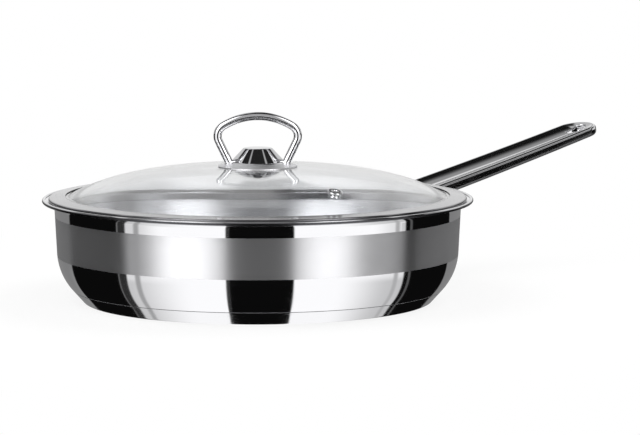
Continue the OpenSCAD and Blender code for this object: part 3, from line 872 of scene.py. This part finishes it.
    def build(self) -> bpy.types.Object:
        """Sweeps the section round the outline, from the wall round the tip and back, with the slot in it.

        A point at distance w from the middle lies at x = x0 + w cos t, y = w sin t, where t is 90 degrees
        along one side, turns through 0 at the tip and is -90 along the other. The middle hangs below a
        straight line by 4 bow s (1 - s), and the root is shortened to the saddle's cylinder. The two sides'
        middle points meet and merge where there is no slot.

        Returns:
            The handle.
        """
        x0, angle = self.stations()
        angle = np.radians(angle)
        share = x0 / self.tip_x
        half_w = self.root_w / 2 + (self.tip_w - self.root_w) / 2 * share
        side_t = self.root_t + (self.tip_t - self.root_t) * share
        out, height = self.section(half_w, side_t, self.slot_share(angle, x0, self.slot_round),
                                   self.slot_share(angle, x0, 0.0))
        x = x0[:, None] + out * np.cos(angle)[:, None]
        y = out * np.sin(angle)[:, None]
        wall_r = self.pan.flare_start_r
        for end in (0, -1):
            reach = np.sqrt((wall_r + self.saddle_t) ** 2 - y[end] ** 2) - wall_r
            x[end] = (reach + height[end] * sin(self.rise)) / cos(self.rise)
        s = x / self.length
        z = height - 4 * self.bow * s * (1 - s)
        points = self.to_part(np.stack([x, y, z], axis=-1).reshape(-1, 3))
        faces, bands = self.faces(x.shape, x0 > self.near_end + TINY)
        piece = make_mesh("handle_pressed", points, faces, bands)
        shape = bmesh.new()
        shape.from_mesh(piece.data)
        bmesh.ops.remove_doubles(shape, verts=shape.verts, dist=self.middle_gap * MM)
        shape.to_mesh(piece.data)
        shape.free()
        piece.data.set_sharp_from_angle(angle=math.radians(SHARP_ANGLE))
        finishes = [HANDLE_STEEL.material(), HANDLE_UNDER_SHADE.material()]
        return self.hand_over(piece, finishes, "handle_steel", "handle")

    def to_part(self, points: np.ndarray) -> np.ndarray:
        """Turns points from the handle's own frame, with x up along it, to the part's frame.

        Args:
            points: rows of x, y, z in the handle's frame.

        Returns:
            The same points in the part's frame.
        """
        x, y, z = points.T
        return np.stack([self.pan.flare_start_r + x * cos(self.rise) - z * sin(self.rise), y,
                         self.pan.height - self.drop + x * sin(self.rise) + z * cos(self.rise)], axis=1)

    def faces(self, shape: tuple, slotted: np.ndarray) -> tuple[list, list]:
        """Quads between neighbouring sections, the slot's wall, and the two root ends.

        Args:
            shape: number of sections and points of a section.
            slotted: the stations that the slot cuts.

        Returns:
            Lists of point numbers, and each face's material number.
        """
        number = np.arange(shape[0] * shape[1]).reshape(shape)
        a, b = number[:-1, :-1], number[1:, :-1]
        c, d = number[1:, 1:], number[:-1, 1:]
        faces = np.stack([a, b, c, d], axis=-1).reshape(-1, 4).tolist()
        ease = self.ease_steps
        outer = shape[1] - (self.dish_steps + 2 * self.round_steps + ease)
        low_start = ease + self.dish_steps + self.round_steps + 2
        # The lower round gets the second finish, a darker grey steel: painted shade where the sheet turns
        # under
        rolled = np.zeros(shape[1] - 1, int)
        rolled[low_start:low_start + self.round_steps] = 1
        bands = np.tile(rolled, shape[0] - 1).tolist()
        wall = slotted[:-1] | slotted[1:]
        near, far = number[:-1][wall], number[1:][wall]
        faces += np.stack([near[:, -1], far[:, -1], far[:, 0], near[:, 0]], axis=-1).tolist()
        for section, sense in ((number[0], 1), (number[-1], -1)):
            outside, inside = section[ease:outer], section[::-1][:outer - ease]
            ring = [outside[1:], inside[1:], inside[:-1], outside[:-1]]
            faces += np.stack(ring if sense > 0 else ring[::-1], axis=-1).tolist()
        return faces, bands + [0] * (len(faces) - len(bands))


@dataclass
class Lid(Piece):
    """Glass dome, steel band, vent, grip and fixings of the lid.

    The step fields are the widest angles between two points of the arcs that they name.
    """

    pan: Pan = field(default_factory=Pan)
    body: Body = Body.LID
    rim_show: float = 4.45
    skirt_clear: float = 0.9
    glass_clear: float = 0.9
    band_grip: float = 4.6
    glass_ledge: float = 1.5
    glass_t: float = 4.0
    # The solid's crown and shoulder, from which the dome's top, the vent's place and the grip's seat follow
    crown_r: float = 515.0
    shoulder_r: float = 30.0
    shoulder_slope: float = 38.0
    shoulder_straight: float = 1.2
    # The dome's own curve, as the photograph shows it
    fillet_r: float = 2.5
    dome_mid_r: float = 1150.0
    dome_points: int = 73
    fit_rounds: int = 12
    glass_hole_d: float = 8.2
    vent_hole_d: float = 6.2
    band_t: float = 0.5
    roll_r: float = 1.35
    band_slope: float = 5.0
    skirt_h: float = 8.0
    seat_gap: float = 0.3
    fit_gap: float = 0.1
    leaf_bend_r: float = 1.2
    hem_r: float = 0.7
    lip_bend_r: float = 0.9
    lip_w: float = 1.6
    turn: float = -44.0
    vent_inset: float = 14.3
    vent_turn: float = -60.0
    vent_d: float = 10.6
    vent_low_d: float = 9.0
    vent_bore_d: float = 3.2
    vent_top_h: float = 1.7
    vent_low_h: float = 1.1
    bell_d: float = 54.6
    bell_top_d: float = 19.5
    bell_h: float = 12.3
    bell_t: float = 0.8
    bell_side_slope: float = 47.0
    bell_brim_slope: float = 17.5
    bell_round: float = 1.6
    bell_fillet: float = 4.0
    rod_d: float = 5.6
    loop_w: float = 60.9
    top_half: float = 32.0
    side_r: float = 8.1
    leg_lean: float = 25.5
    foot_w: float = 39.8
    rod_sides: int = 48
    segments: int = 288
    drill_sides: int = 48
    vent_sides: int = 72
    side_points: int = 29
    top_points: int = 41
    leg_points: int = 6
    leg_end: float = 0.5
    cone_rounds: int = 6
    fillet_step: float = 2.0
    edge_step: float = 12.0
    roll_step: float = 9.0
    hem_step: float = 12.0
    flange_step: float = 15.0
    bore_step: float = 12.0
    bell_round_step: float = 6.0
    bell_fillet_step: float = 4.0
    bell_edge_step: float = 30.0

    def __post_init__(self) -> None:
        """Works out the seats and centres, from the pan's rim up."""
        slope, rise, steep = self.band_slope, self.pan.flare_rise, self.shoulder_slope
        self.roll_x = self.pan.lip_d / 2 - self.rim_show - self.roll_r
        self.roll_h = self.pan.flange_top(self.roll_x) + (self.roll_r + self.seat_gap) / cos(rise)
        self.roll_mid = self.roll_r - self.band_t / 2
        self.skirt_r = self.pan.flare_start_r - self.pan.wall_t - self.skirt_clear - self.band_t / 2
        self.glass_r = self.skirt_r - self.band_t / 2 - self.glass_clear
        self.inner_r = self.glass_r - self.band_grip
        self.seat_h = self.band_top(self.inner_r) - self.band_t / cos(slope) - self.fit_gap / 2
        end_r = self.inner_r - self.glass_ledge
        shoulder_end = end_r - self.shoulder_straight * cos(steep) - self.fillet_r * (sin(steep) - sin(slope))
        self.crown_end = (shoulder_end - self.shoulder_r * sin(steep)) / (1 - self.shoulder_r / self.crown_r)
        crown = angle_of(self.crown_end, self.crown_r)
        fall = (self.crown_r * (1 - cos(crown)) + self.shoulder_r * (cos(crown) - cos(steep))
                + self.shoulder_straight * sin(steep) + self.fillet_r * (cos(slope) - cos(steep)))
        foot = np.array([end_r, self.seat_h + (self.inner_r - end_r) * tan(slope)])
        self.apex_h = foot[1] + fall
        self.crown_c = np.array([0, self.apex_h - self.crown_r])
        self.edge = foot + (self.glass_r - self.glass_t / 2 - end_r) / cos(slope) * direction(-slope)
        self.fillet_c = foot + self.fillet_r * direction(90 - slope)
        self.fit_dome()
        seat = self.crown_height(self.bell_d / 2) + self.fit_gap
        self.brim_h = seat + self.bell_t / cos(self.bell_brim_slope)
        self.bell_top_h = self.brim_h + self.bell_h

    def band_top(self, radius: float) -> float:
        """Height of the band's upper face at a radius."""
        slope = self.band_slope
        return self.roll_h + self.roll_r / cos(slope) + (self.roll_x - radius) * tan(slope)

    def crown_height(self, radius: float) -> float:
        """Height of the solid's crown at a radius."""
        return self.crown_c[1] + math.sqrt(self.crown_r ** 2 - radius ** 2)

    def fit_dome(self) -> None:
        """Fits the dome's curve apex - a r^2 - b r^4 between the apex and the fillet at its foot.

        The curve's slope at the foot sets where the fillet starts, so both are found in a few rounds.
        """
        self.bend_2 = 1 / (2 * self.dome_mid_r)
        steep = 2 * math.radians(self.band_slope)
        for _ in range(self.fit_rounds):
            self.foot_r = self.fillet_c[0] - self.fillet_r * math.sin(steep)
            foot_h = self.fillet_c[1] - self.fillet_r * math.cos(steep)
            self.bend_4 = (self.apex_h - foot_h - self.bend_2 * self.foot_r ** 2) / self.foot_r ** 4
            steep = float(self.dome(np.array(self.foot_r))[1])
        self.foot_slope = math.degrees(steep)

    def dome(self, radius: np.ndarray) -> tuple[np.ndarray, np.ndarray]:
        """Top face of the glass dome: height = apex - a r^2 - b r^4, and slope = atan(2 a r + 4 b r^3).

        Args:
            radius: distances from the axis.

        Returns:
            The heights, and the slopes in radians.
        """
        height = self.apex_h - self.bend_2 * radius ** 2 - self.bend_4 * radius ** 4
        return height, np.arctan(2 * self.bend_2 * radius + 4 * self.bend_4 * radius ** 3)

    def glass_face(self, depth: float) -> np.ndarray:
        """One face of the glass from the hole outwards, at a depth below the top face.

        A point of the top face at radius r moves by depth along its normal (sin slope, cos slope).

        Args:
            depth: 0 for the top face, the thickness for the lower one.

        Returns:
            Points of the dome and the fillet.
        """
        radius = np.linspace(self.glass_hole_d / 2, self.foot_r, self.dome_points)
        height, slope = self.dome(radius)
        face = np.stack([radius - depth * np.sin(slope), height - depth * np.cos(slope)], axis=1)
        face[0, 0] = self.glass_hole_d / 2
        return joined(face, arc(self.fillet_c, self.fillet_r + depth, 270 - self.foot_slope,
                                270 - self.band_slope, self.fillet_step))

    def build_glass(self) -> bpy.types.Object:
        """Turns the glass and drills the hole for the vent.

        Returns:
            The glass.
        """
        half_t, up = self.glass_t / 2, 90 - self.band_slope
        outline = joined(self.glass_face(0),
                         arc(self.edge - half_t * direction(up), half_t, up, up - 180, self.edge_step),
                         self.glass_face(self.glass_t)[::-1])
        piece = turned("lid_glass_dome", outline, self.segments)
        hole_r, low, high = self.vent_hole_d / 2, -2 * self.glass_t, self.glass_t
        cutter = turned("vent_drill", np.array([[0, low], [hole_r, low], [hole_r, high], [0, high]]),
                        self.drill_sides)
        self.place_vent(cutter)
        cut_away(piece, cutter)
        piece.data.set_sharp_from_angle(angle=math.radians(SHARP_ANGLE))
        return self.hand_over(piece, [GLASS.material()], "clear_glass", "lid_glass")

    def place_vent(self, piece: bpy.types.Object) -> None:
        """Moves a piece's mesh from the vent's own frame to its place on the dome, square to the glass.

        Args:
            piece: the vent or its drill, made about the Z axis with the glass's top face at height 0.
        """
        radius = self.crown_end - self.vent_inset
        height, slope = self.dome(np.array(radius))
        ball_r = radius / math.sin(slope)
        pivot = float(height) - ball_r * math.cos(slope)
        co = np.zeros(len(piece.data.vertices) * 3)
        piece.data.vertices.foreach_get("co", co)
        turn, lean = self.turn + self.vent_turn, math.degrees(slope)
        moved = placed(co.reshape(-1, 3) / MM, turn, lean, pivot, ball_r) * MM
        piece.data.vertices.foreach_set("co", moved.ravel())
        piece.data.update()

    def build_band(self) -> bpy.types.Object:
        """Turns the rolled band: top leaf, rolled edge, lower leaf, skirt and the hem that holds the glass.

        Returns:
            The band.
        """
        skirt_r, half_t, slope = self.skirt_r, self.band_t / 2, self.band_slope
        leaf_h = self.roll_h - self.roll_mid
        end_h = leaf_h - self.skirt_h
        hem_h = self.seat_h - self.glass_t / cos(slope) - self.band_grip * tan(slope) - self.fit_gap - half_t
        hem_x = skirt_r - 2 * self.hem_r - self.lip_bend_r
        top = self.band_top(self.inner_r)
        path = joined([[self.inner_r + half_t, top - half_t / cos(slope)]],
                      arc([self.roll_x, self.roll_h], self.roll_mid, 90 - slope, -90, self.roll_step),
                      arc([skirt_r + self.leaf_bend_r, leaf_h - self.leaf_bend_r], self.leaf_bend_r, 90, 180,
                          self.roll_step),
                      arc([skirt_r - self.hem_r, end_h + self.hem_r], self.hem_r, 0, -180, self.hem_step),
                      arc([hem_x, hem_h - self.lip_bend_r], self.lip_bend_r, 0, 90, self.hem_step),
                      [[hem_x - self.lip_w, hem_h]])
        outline = sheet(held(path), self.band_t)
        radius, height = ((outline + np.roll(outline, -1, axis=0)) / 2).T
        # Painted shade: the band's inner edge at the glass and the underside of its roll get the dark dull
        # steel, for the dark lines there
        painted_shade_inner_edge = (radius < self.inner_r + half_t) & (height > top - 2 * self.band_t)
        painted_shade_roll_under = (radius > self.roll_x) & (height < self.roll_h + self.roll_r / 2)
        piece = turned("lid_band_rolled", outline, self.segments, (painted_shade_inner_edge | painted_shade_roll_under).astype(int))
        return self.hand_over(piece, [BAND_STEEL.material(), RIM_PAINTED_SHADE.material()], "band_steel", "lid_band")

    def build_vent(self) -> bpy.types.Object:
        """Turns the flanged tube through the glass: round-edged flanges, and a bore that flares at the top.

        Returns:
            The vent.
        """
        bore, tube, gap = self.vent_bore_d / 2, self.vent_hole_d / 2 - self.fit_gap, self.fit_gap
        under = -self.glass_t - gap
        top_t, low_t, flare = self.vent_top_h / 2, self.vent_low_h / 2, self.vent_top_h / 2
        outline = joined([[bore, under - 2 * low_t]],
                         arc([self.vent_low_d / 2 - low_t, under - low_t], low_t, -90, 90, self.flange_step),
                         [[tube, under], [tube, gap]],
                         arc([self.vent_d / 2 - top_t, gap + top_t], top_t, -90, 90, self.flange_step),
                         arc([bore + flare, gap + 2 * top_t - flare], flare, 90, 180, self.bore_step))
        piece = turned("vent_eyelet_rolled", outline, self.vent_sides)
        self.place_vent(piece)
        return self.hand_over(piece, [POLISHED.material()], "fixing_steel", "vent_eyelet")

    def bell_face(self) -> np.ndarray:
        """Outer face of the grip's cap from the middle out: flat top, side, fillet and brim.

        Returns:
            Points in a row.
        """
        side, brim = self.bell_side_slope, self.bell_brim_slope
        corner_x = ((self.bell_h + self.bell_top_d / 2 * tan(side) - self.bell_d / 2 * tan(brim))
                    / (tan(side) - tan(brim)))
        corner = np.array([corner_x, self.brim_h + (self.bell_d / 2 - corner_x) * tan(brim)])
        top = np.array([self.bell_top_d / 2, self.bell_top_h])
        fillet_c = corner + self.bell_fillet / cos((side - brim) / 2) * direction(90 - (side + brim) / 2)
        round_c = top - self.bell_round / cos(side / 2) * direction(90 - side / 2)
        return joined([[0, self.bell_top_h]],
                      arc(round_c, self.bell_round, 90, 90 - side, self.bell_round_step),
                      arc(fillet_c, self.bell_fillet, 270 - side, 270 - brim, self.bell_fillet_step),
                      [[self.bell_d / 2, self.brim_h]])

    def foot_rise(self) -> float:
        """Height of the brim at the loop's feet above its edge."""
        return (self.bell_d - self.foot_w) / 2 * tan(self.bell_brim_slope)

    def build_bell(self) -> bpy.types.Object:
        """Turns the cap that carries the loop, with a half-round edge on its brim.

        Returns:
            The cap.
        """
        face = held(self.bell_face())
        under = beside(face, -self.bell_t)
        under[0, 0] = 0.0
        edge_c, up = (face[-1] + under[-1]) / 2, 90 - self.bell_brim_slope
        edge = arc(edge_c, self.bell_t / 2, up, up - 180, self.bell_edge_step)
        edge[:, 0] = np.minimum(edge[:, 0], self.bell_d / 2)
        outline = joined(face[:-1], edge, under[:-1][::-1])
        height = (outline[1:, 1] + outline[:-1, 1]) / 2
        brim = height < self.brim_h + self.foot_rise()
        piece = turned("loop_base_spun", outline, self.segments // 2, brim.astype(int))
        return self.hand_over(piece, [POLISHED.material(), BRIM_STEEL.material()], "grip_steel", "loop_base")

    def loop_line(self) -> tuple[np.ndarray, np.ndarray]:
        """Centre line of the loop in its own plane: leg, side bend, wide top arc, and the same mirrored.

        Returns:
            Points (across, height), and the direction of the outward normal at each in degrees.
        """
        lean, half, side_r = self.leg_lean, self.top_half, self.side_r
        side_x = self.loop_w / 2 - self.rod_d / 2 - side_r
        leg = (side_x + side_r * cos(lean) - self.foot_w / 2) / sin(lean)
        side_c = np.array([side_x, self.brim_h + self.foot_rise() + leg * cos(lean) + side_r * sin(lean)])
        top_r = side_x / sin(half) + side_r
        top_c = np.array([0, side_c[1] - (top_r - side_r) * cos(half)])
        side_a = np.linspace(-lean, 90 - half, self.side_points)
        top_a = np.linspace(90 - half, 90 + half, self.top_points)[1:-1]
        leg_stops = np.linspace(leg, self.leg_end, self.leg_points)[:, None]
        half_line = np.concatenate([side_c + side_r * direction(-lean) - leg_stops * direction(90 - lean),
                                    side_c + side_r * direction(side_a)])
        half_angle = np.concatenate([np.full(self.leg_points, -lean), side_a])
        line = np.concatenate([half_line, top_c + top_r * direction(top_a), half_line[::-1] * [-1, 1]])
        return line, np.concatenate([half_angle, top_a, 180 - half_angle[::-1]])

    def build_loop(self) -> bpy.types.Object:
        """Sweeps the rod along its centre line in an upright plane and shapes its feet to the cap.

        A ring's point at turn u lies at centre + r (cos u) n + r (sin u) b, with n the outward normal in the
        loop's plane and b the plane's own normal. A foot's points slide along the leg to the cap's cone.

        Returns:
            The loop.
        """
        rod = self.rod_d / 2
        line, angle = self.loop_line()
        turn = 2 * np.pi * np.arange(self.rod_sides) / self.rod_sides
        normal = direction(angle)
        across = line[:, None, 0] + rod * np.cos(turn) * normal[:, :1]
        height = line[:, None, 1] + rod * np.cos(turn) * normal[:, 1:]
        depth = np.broadcast_to(rod * np.sin(turn), across.shape)
        ring = np.stack([across, depth, height], axis=-1)
        down = -direction(90 - self.leg_lean)
        for end, sense in ((0, 1), (-1, -1)):
            ring[end] = self.to_cone(ring[end], np.array([sense * down[0], 0, down[1]]))
        c, s = cos(self.turn), sin(self.turn)
        points = ring.reshape(-1, 3) @ np.array([[c, -s, 0], [s, c, 0], [0, 0, 1]]).T
        count = len(line)
        number = np.arange(count * self.rod_sides).reshape(count, self.rod_sides)
        low, high = number[:-1], number[1:]
        faces = np.stack([low, np.roll(low, -1, 1), np.roll(high, -1, 1), high], -1).reshape(-1, 4).tolist()
        faces += [number[0][::-1].tolist(), number[-1].tolist()]
        piece = make_mesh("lid_loop_rod", points, faces)
        return self.hand_over(piece, [ROD_STEEL.material()], "grip_steel", "lid_loop")

    def to_cone(self, points: np.ndarray, along: np.ndarray) -> np.ndarray:
        """Slides points along a direction until they meet the cap's brim cone, in a few Newton steps.

        Args:
            points: rows of x, y, z.
            along: the direction.

        Returns:
            The points on the cone.
        """
        fall = tan(self.bell_brim_slope)
        for _ in range(self.cone_rounds):
            radius = np.hypot(points[:, 0], points[:, 1])
            gap = points[:, 2] - self.brim_h - (self.bell_d / 2 - radius) * fall
            rate = along[2] + fall * (points[:, 0] * along[0] + points[:, 1] * along[1]) / radius
            points = points - (gap / rate)[:, None] * along
        return points

    def build_fixings(self) -> None:
        """Dresses the small pieces that hold the grip to the glass."""
        for node, name, finish, slot in (
                ("anchor_nut", "anchor_nut_welded", PLAIN_STEEL, "fixing_steel"),
                ("under_washer", "under_washer_pressed", PLAIN_STEEL, "fixing_steel"),
                ("lid_screw", "lid_screw_headed", PLAIN_STEEL, "fixing_steel"),
                ("upper_gasket", "upper_gasket_moulded", SILICONE, "silicone_seal"),
                ("under_gasket", "under_gasket_moulded", SILICONE, "silicone_seal")):
            self.hand_over(self.merged_copy(node, name), [finish.material()], slot, node)

    def build(self) -> None:
        """Builds every piece of the lid."""
        self.build_glass()
        self.build_band()
        self.build_vent()
        self.build_bell()
        self.build_loop()
        self.build_fixings()


@dataclass(frozen=True)
class Card:
    """A card or softbox of the studio, placed by the steel that mirrors it to the photograph's viewpoint.

    A surface that faces left to right degrees right of the viewer and low to high degrees up shows the card.
    Its edges fade over soft degrees to either side, and soft_up degrees up and down.
    """

    left: float
    right: float
    low: float
    high: float
    level: float
    soft: float = 0.4
    soft_up: float = 2.0


@dataclass(frozen=True)
class Lamp:
    """A soft round lamp, placed across and behind the pan as the camera sees it, and above the floor."""

    name: str
    across: float
    back: float
    height: float
    size: float
    power: float


@dataclass
class Studio:
    """Floor, lamps, camera and the cards that polished steel mirrors."""

    view_azimuth: float = -44.0
    camera_distance: float = 2376.0
    camera_height: float = 334.0
    aim_right: float = 42.9
    aim_height: float = 57.0
    lens: float = 194.78
    sensor: float = 36.0
    floor_size: float = 12000.0
    floor_gap: float = 0.05
    floor_fade: float = 420.0
    shadow_share: float = 0.18
    plain_level: float = 0.8
    view_elevation: float = 8.0
    shadow_r: float = 168.0
    dark_level: float = 0.03
    clip_end: float = 100.0
    floor_colour: str = "#F4F4F4"
    lamps: tuple = (Lamp("lamp_left", -900, -500, 1500, 1200, 9.0),
                    Lamp("lamp_right", 1000, 300, 1500, 1200, 9.0))
    # A later card covers the earlier ones
    cards: tuple = (
        # Upright faces: the wall, the satin band, the foot and the sides of rods and handle
        Card(-200, 200, -95, 40, 0.25),
        Card(-200, 200, 8, 38, 0.15),
        Card(-40, 45.7, -95, 40, 1.3, soft_up=6),
        Card(-60, -30, -95, -8, 0.72, 12, 6),
        Card(32, 60, -95, -8, 0.72, 10, 6),
        Card(-60, -32, -8, 5, 0.86, 5, 4),
        Card(38, 60, -8, 5, 0.98, 5, 4),
        Card(-43.5, -31, 7, 38, 0.4, 3),
        Card(-28.5, -13, 7, 38, 4.3, 4),
        Card(14, 26, 7, 38, 3.9, 4),
        Card(29.5, 49.5, 5, 40, 0.08, 2.5),
        Card(44.2, 50, -1.5, 40, 0.006, soft_up=1),
        Card(-37, -35.2, -95, 40, 0.45, 0.5, 6),
        Card(41.8, 43.4, -95, 40, 0.55, 0.5, 6),
        Card(-9, -8, -95, 40, 0.05, 0.2, 6),
        Card(-8.2, 10.1, -95, 6, 0.004, 0.3),
        Card(-9, 10.1, 8, 38, 0.5, 0.6),
        Card(-43, -40, -95, 40, 0.035),
        Card(-66.8, -43, -95, 10, 0.004),
        Card(-66.8, -43, 10, 40, 0.45),
        Card(45.7, 69.5, -95, 10, 0.004),
        Card(50, 69.5, 10, 40, 0.8),
        Card(47.6, 48.6, -95, 40, 0.11, 0.2),
        # Faces that slant up: the side of the grip's cap and the shoulders of rods and rolls
        Card(-200, 200, 38, 60, 0.02),
        Card(17, 21, 38, 60, 0.5, 1.5),
        Card(-21, -17, 38, 60, 0.5, 1.5),
        Card(38, 42, 38, 60, 0.9, 1.5),
        Card(-42, -38, 38, 60, 0.9, 1.5),
        Card(58, 200, 38, 60, 0.7, 3),
        Card(-200, -58, 38, 60, 0.7, 3),
        # Faces that look up: the glass, the band's top and the handle's dish
        Card(-200, 200, 60, 95, 0.88, 1, 1.5),
        Card(-66, 46, 58, 79, 0.6, 10, 2),
        Card(8, 36, 64, 84.5, 0.32, 5, 1.5),
        Card(-14, 30, 79, 84.5, 0.32, 6, 1.5),
        Card(12, 38, 58, 77, 0.008, 5, 4.5),
        Card(-8, 20, 58, 69, 0.03, 6, 2),
    )

    def axes(self) -> tuple[np.ndarray, np.ndarray]:
        """Unit vectors to the camera's right and away from it, on the floor."""
        a = math.radians(self.view_azimuth)
        return np.array([math.cos(a), math.sin(a)]), np.array([-math.sin(a), math.cos(a)])

    def build_camera(self) -> None:
        """Sets the camera at the photograph's height, distance and framing."""
        right, away = self.axes()
        place = np.r_[-self.camera_distance * away, self.camera_height] * MM
        aim = np.r_[self.aim_right * right, self.aim_height] * MM
        data = bpy.data.cameras.new("camera")
        data.lens, data.sensor_width, data.sensor_fit = self.lens, self.sensor, "HORIZONTAL"
        data.clip_end = self.clip_end
        camera = bpy.data.objects.new("camera", data)
        camera.location = place
        camera.rotation_euler = Vector(aim - place).to_track_quat("-Z", "Y").to_euler()
        bpy.context.scene.collection.objects.link(camera)
        bpy.context.scene.camera = camera

    def build_floor(self) -> None:
        """Lays the pale floor, which keeps a soft shadow near the pan and is plain white further out.

        It lies a hair below the base, so that the two flat faces don't share one plane, and its lower side
        is clear.
        """
        half, low = self.floor_size / 2, -self.floor_gap
        corners = np.array([[-half, -half, low], [half, -half, low], [half, half, low], [-half, half, low]])
        floor = make_mesh("floor", corners, [[0, 1, 2, 3]])
        material = bpy.data.materials.new("pale_floor")
        material.use_nodes = True
        tree = material.node_tree
        tree.nodes.clear()
        place = add_node(tree, "ShaderNodeTexCoord").outputs["Object"]
        far = add_node(tree, "ShaderNodeVectorMath", {0: place}, operation="LENGTH")
        near = add_node(tree, "ShaderNodeMapRange",
                        {"Value": far.outputs["Value"], "From Min": self.shadow_r * MM,
                         "From Max": self.floor_fade * MM, "To Min": self.shadow_share, "To Max": 0.0},
                        interpolation_type="SMOOTHSTEP")
        seen = add_node(tree, "ShaderNodeLightPath").outputs["Is Camera Ray"]
        plain = add_node(tree, "ShaderNodeMath", {0: 1.0, 1: near.outputs["Result"]}, operation="SUBTRACT")
        share = add_node(tree, "ShaderNodeMath", {0: plain.outputs[0], 1: seen}, operation="MULTIPLY")
        matt = add_node(tree, "ShaderNodeBsdfDiffuse", {"Color": linear(self.floor_colour)})
        white = add_node(tree, "ShaderNodeEmission", {"Color": (1, 1, 1, 1), "Strength": 1.0})
        mix = add_node(tree, "ShaderNodeMixShader",
                       {0: share.outputs[0], 1: matt.outputs[0], 2: white.outputs[0]})
        lower_side = add_node(tree, "ShaderNodeNewGeometry").outputs["Backfacing"]
        clear = add_node(tree, "ShaderNodeBsdfTransparent")
        one_sided = add_node(tree, "ShaderNodeMixShader",
                             {0: lower_side, 1: mix.outputs[0], 2: clear.outputs[0]})
        add_node(tree, "ShaderNodeOutputMaterial", {"Surface": one_sided.outputs[0]})
        floor.data.materials.append(material)
        floor.visible_glossy = False

    def build_lamps(self) -> None:
        """Hangs soft lamps above, which light the floor and the matt pieces and aren't mirrored."""
        right, away = self.axes()
        for row in self.lamps:
            data = bpy.data.lights.new(row.name, "AREA")
            data.shape, data.size, data.energy = "DISK", row.size * MM, row.power
            lamp = bpy.data.objects.new(row.name, data)
            lamp.location = np.r_[row.across * right + row.back * away, row.height] * MM
            lamp.rotation_euler = (-Vector(lamp.location)).to_track_quat("-Z", "Y").to_euler()
            lamp.visible_glossy = False
            lamp.visible_transmission = False
            bpy.context.scene.collection.objects.link(lamp)

    def facing(self, tree: bpy.types.NodeTree) -> tuple[bpy.types.Node, bpy.types.Node]:
        """Names each direction of the studio by the mirror that would show it to the photograph's viewpoint.

        That mirror's normal is n = (r - d) / |r - d|, with r the direction and d the viewer's line of sight.
        Its facing is atan2(n right, -n away) and its tilt asin(n up). Both stay fixed in the room.

        Args:
            tree: the world's node tree.

        Returns:
            Nodes that give the facing and the tilt in degrees.
        """
        seen = add_node(tree, "ShaderNodeTexCoord").outputs["Generated"]
        turned_to = add_node(tree, "ShaderNodeMapping",
                             {"Vector": seen, "Rotation": (0, 0, -math.radians(self.view_azimuth))})
        sight = (0.0, cos(self.view_elevation), -sin(self.view_elevation))
        apart = add_node(tree, "ShaderNodeVectorMath", {0: turned_to.outputs[0], 1: sight},
                         operation="SUBTRACT")
        normal = add_node(tree, "ShaderNodeVectorMath", {0: apart.outputs[0]}, operation="NORMALIZE")
        split = add_node(tree, "ShaderNodeSeparateXYZ", {0: normal.outputs[0]}).outputs
        front = add_node(tree, "ShaderNodeMath", {0: split["Y"], 1: -1.0}, operation="MULTIPLY")
        turn = add_node(tree, "ShaderNodeMath", {0: split["X"], 1: front.outputs[0]}, operation="ARCTAN2")
        tilt = add_node(tree, "ShaderNodeMath", {0: split["Z"]}, operation="ARCSINE")
        facing, lifted = (add_node(tree, "ShaderNodeMath", {0: node.outputs[0], 1: math.degrees(1)},
                                   operation="MULTIPLY") for node in (turn, tilt))
        return facing, lifted

    def build_world(self) -> None:
        """Paints the studio by direction: white seen straight or through glass, cards to mirrors, else plain.

        A card's mask is the product of four smooth steps, one at each edge, and each card in turn replaces
        the level under it by its own where the mask is 1.
        """
        world = bpy.data.worlds.new("studio")
        bpy.context.scene.world = world
        world.use_nodes = True
        tree = world.node_tree
        tree.nodes.clear()
        facing, tilt = self.facing(tree)
        level: bpy.types.NodeSocket | float = self.dark_level
        for card in self.cards:
            mask: bpy.types.NodeSocket | float = 1.0
            for value, edge, soft, low, high in (
                    (facing, card.left, card.soft, 0.0, 1.0), (facing, card.right, card.soft, 1.0, 0.0),
                    (tilt, card.low, card.soft_up, 0.0, 1.0), (tilt, card.high, card.soft_up, 1.0, 0.0)):
                side = add_node(tree, "ShaderNodeMapRange",
                                {"Value": value.outputs[0], "From Min": edge - soft, "From Max": edge + soft,
                                 "To Min": low, "To Max": high}, interpolation_type="SMOOTHSTEP")
                mask = add_node(tree, "ShaderNodeMath", {0: mask, 1: side.outputs["Result"]},
                                operation="MULTIPLY").outputs[0]
            level = add_node(tree, "ShaderNodeMix", {0: mask, 2: level, 3: card.level},
                             data_type="FLOAT").outputs[0]
        path = add_node(tree, "ShaderNodeLightPath").outputs
        mirrored = add_node(tree, "ShaderNodeMath", {0: path["Glossy Depth"], 1: 0.5},
                            operation="GREATER_THAN")
        clear = add_node(tree, "ShaderNodeMath", {0: path["Is Camera Ray"], 1: path["Is Transmission Ray"]},
                         operation="MAXIMUM").outputs[0]
        plain = add_node(tree, "ShaderNodeMix", {0: clear, 2: self.plain_level, 3: 1.0},
                         data_type="FLOAT").outputs[0]
        strength = add_node(tree, "ShaderNodeMix", {0: mirrored.outputs[0], 2: plain, 3: level},
                            data_type="FLOAT").outputs[0]
        back = add_node(tree, "ShaderNodeBackground", {"Color": (1, 1, 1, 1), "Strength": strength})
        add_node(tree, "ShaderNodeOutputWorld", {"Surface": back.outputs[0]})

    def build(self) -> None:
        """Builds the studio."""
        bpy.context.scene.view_settings.view_transform = "Standard"
        self.build_camera()
        self.build_floor()
        self.build_lamps()
        self.build_world()
        log.info("studio ready")


def main() -> None:
    """Builds the studio, the pan, the handle and the lid, in that order."""
    logging.basicConfig(level=logging.INFO, format="%(name)s: %(message)s")
    Studio().build()
    pan = Pan()
    pan.build()
    Handle(pan=pan).build()
    Lid(pan=pan).build()


if __name__ == "__main__":
    main()
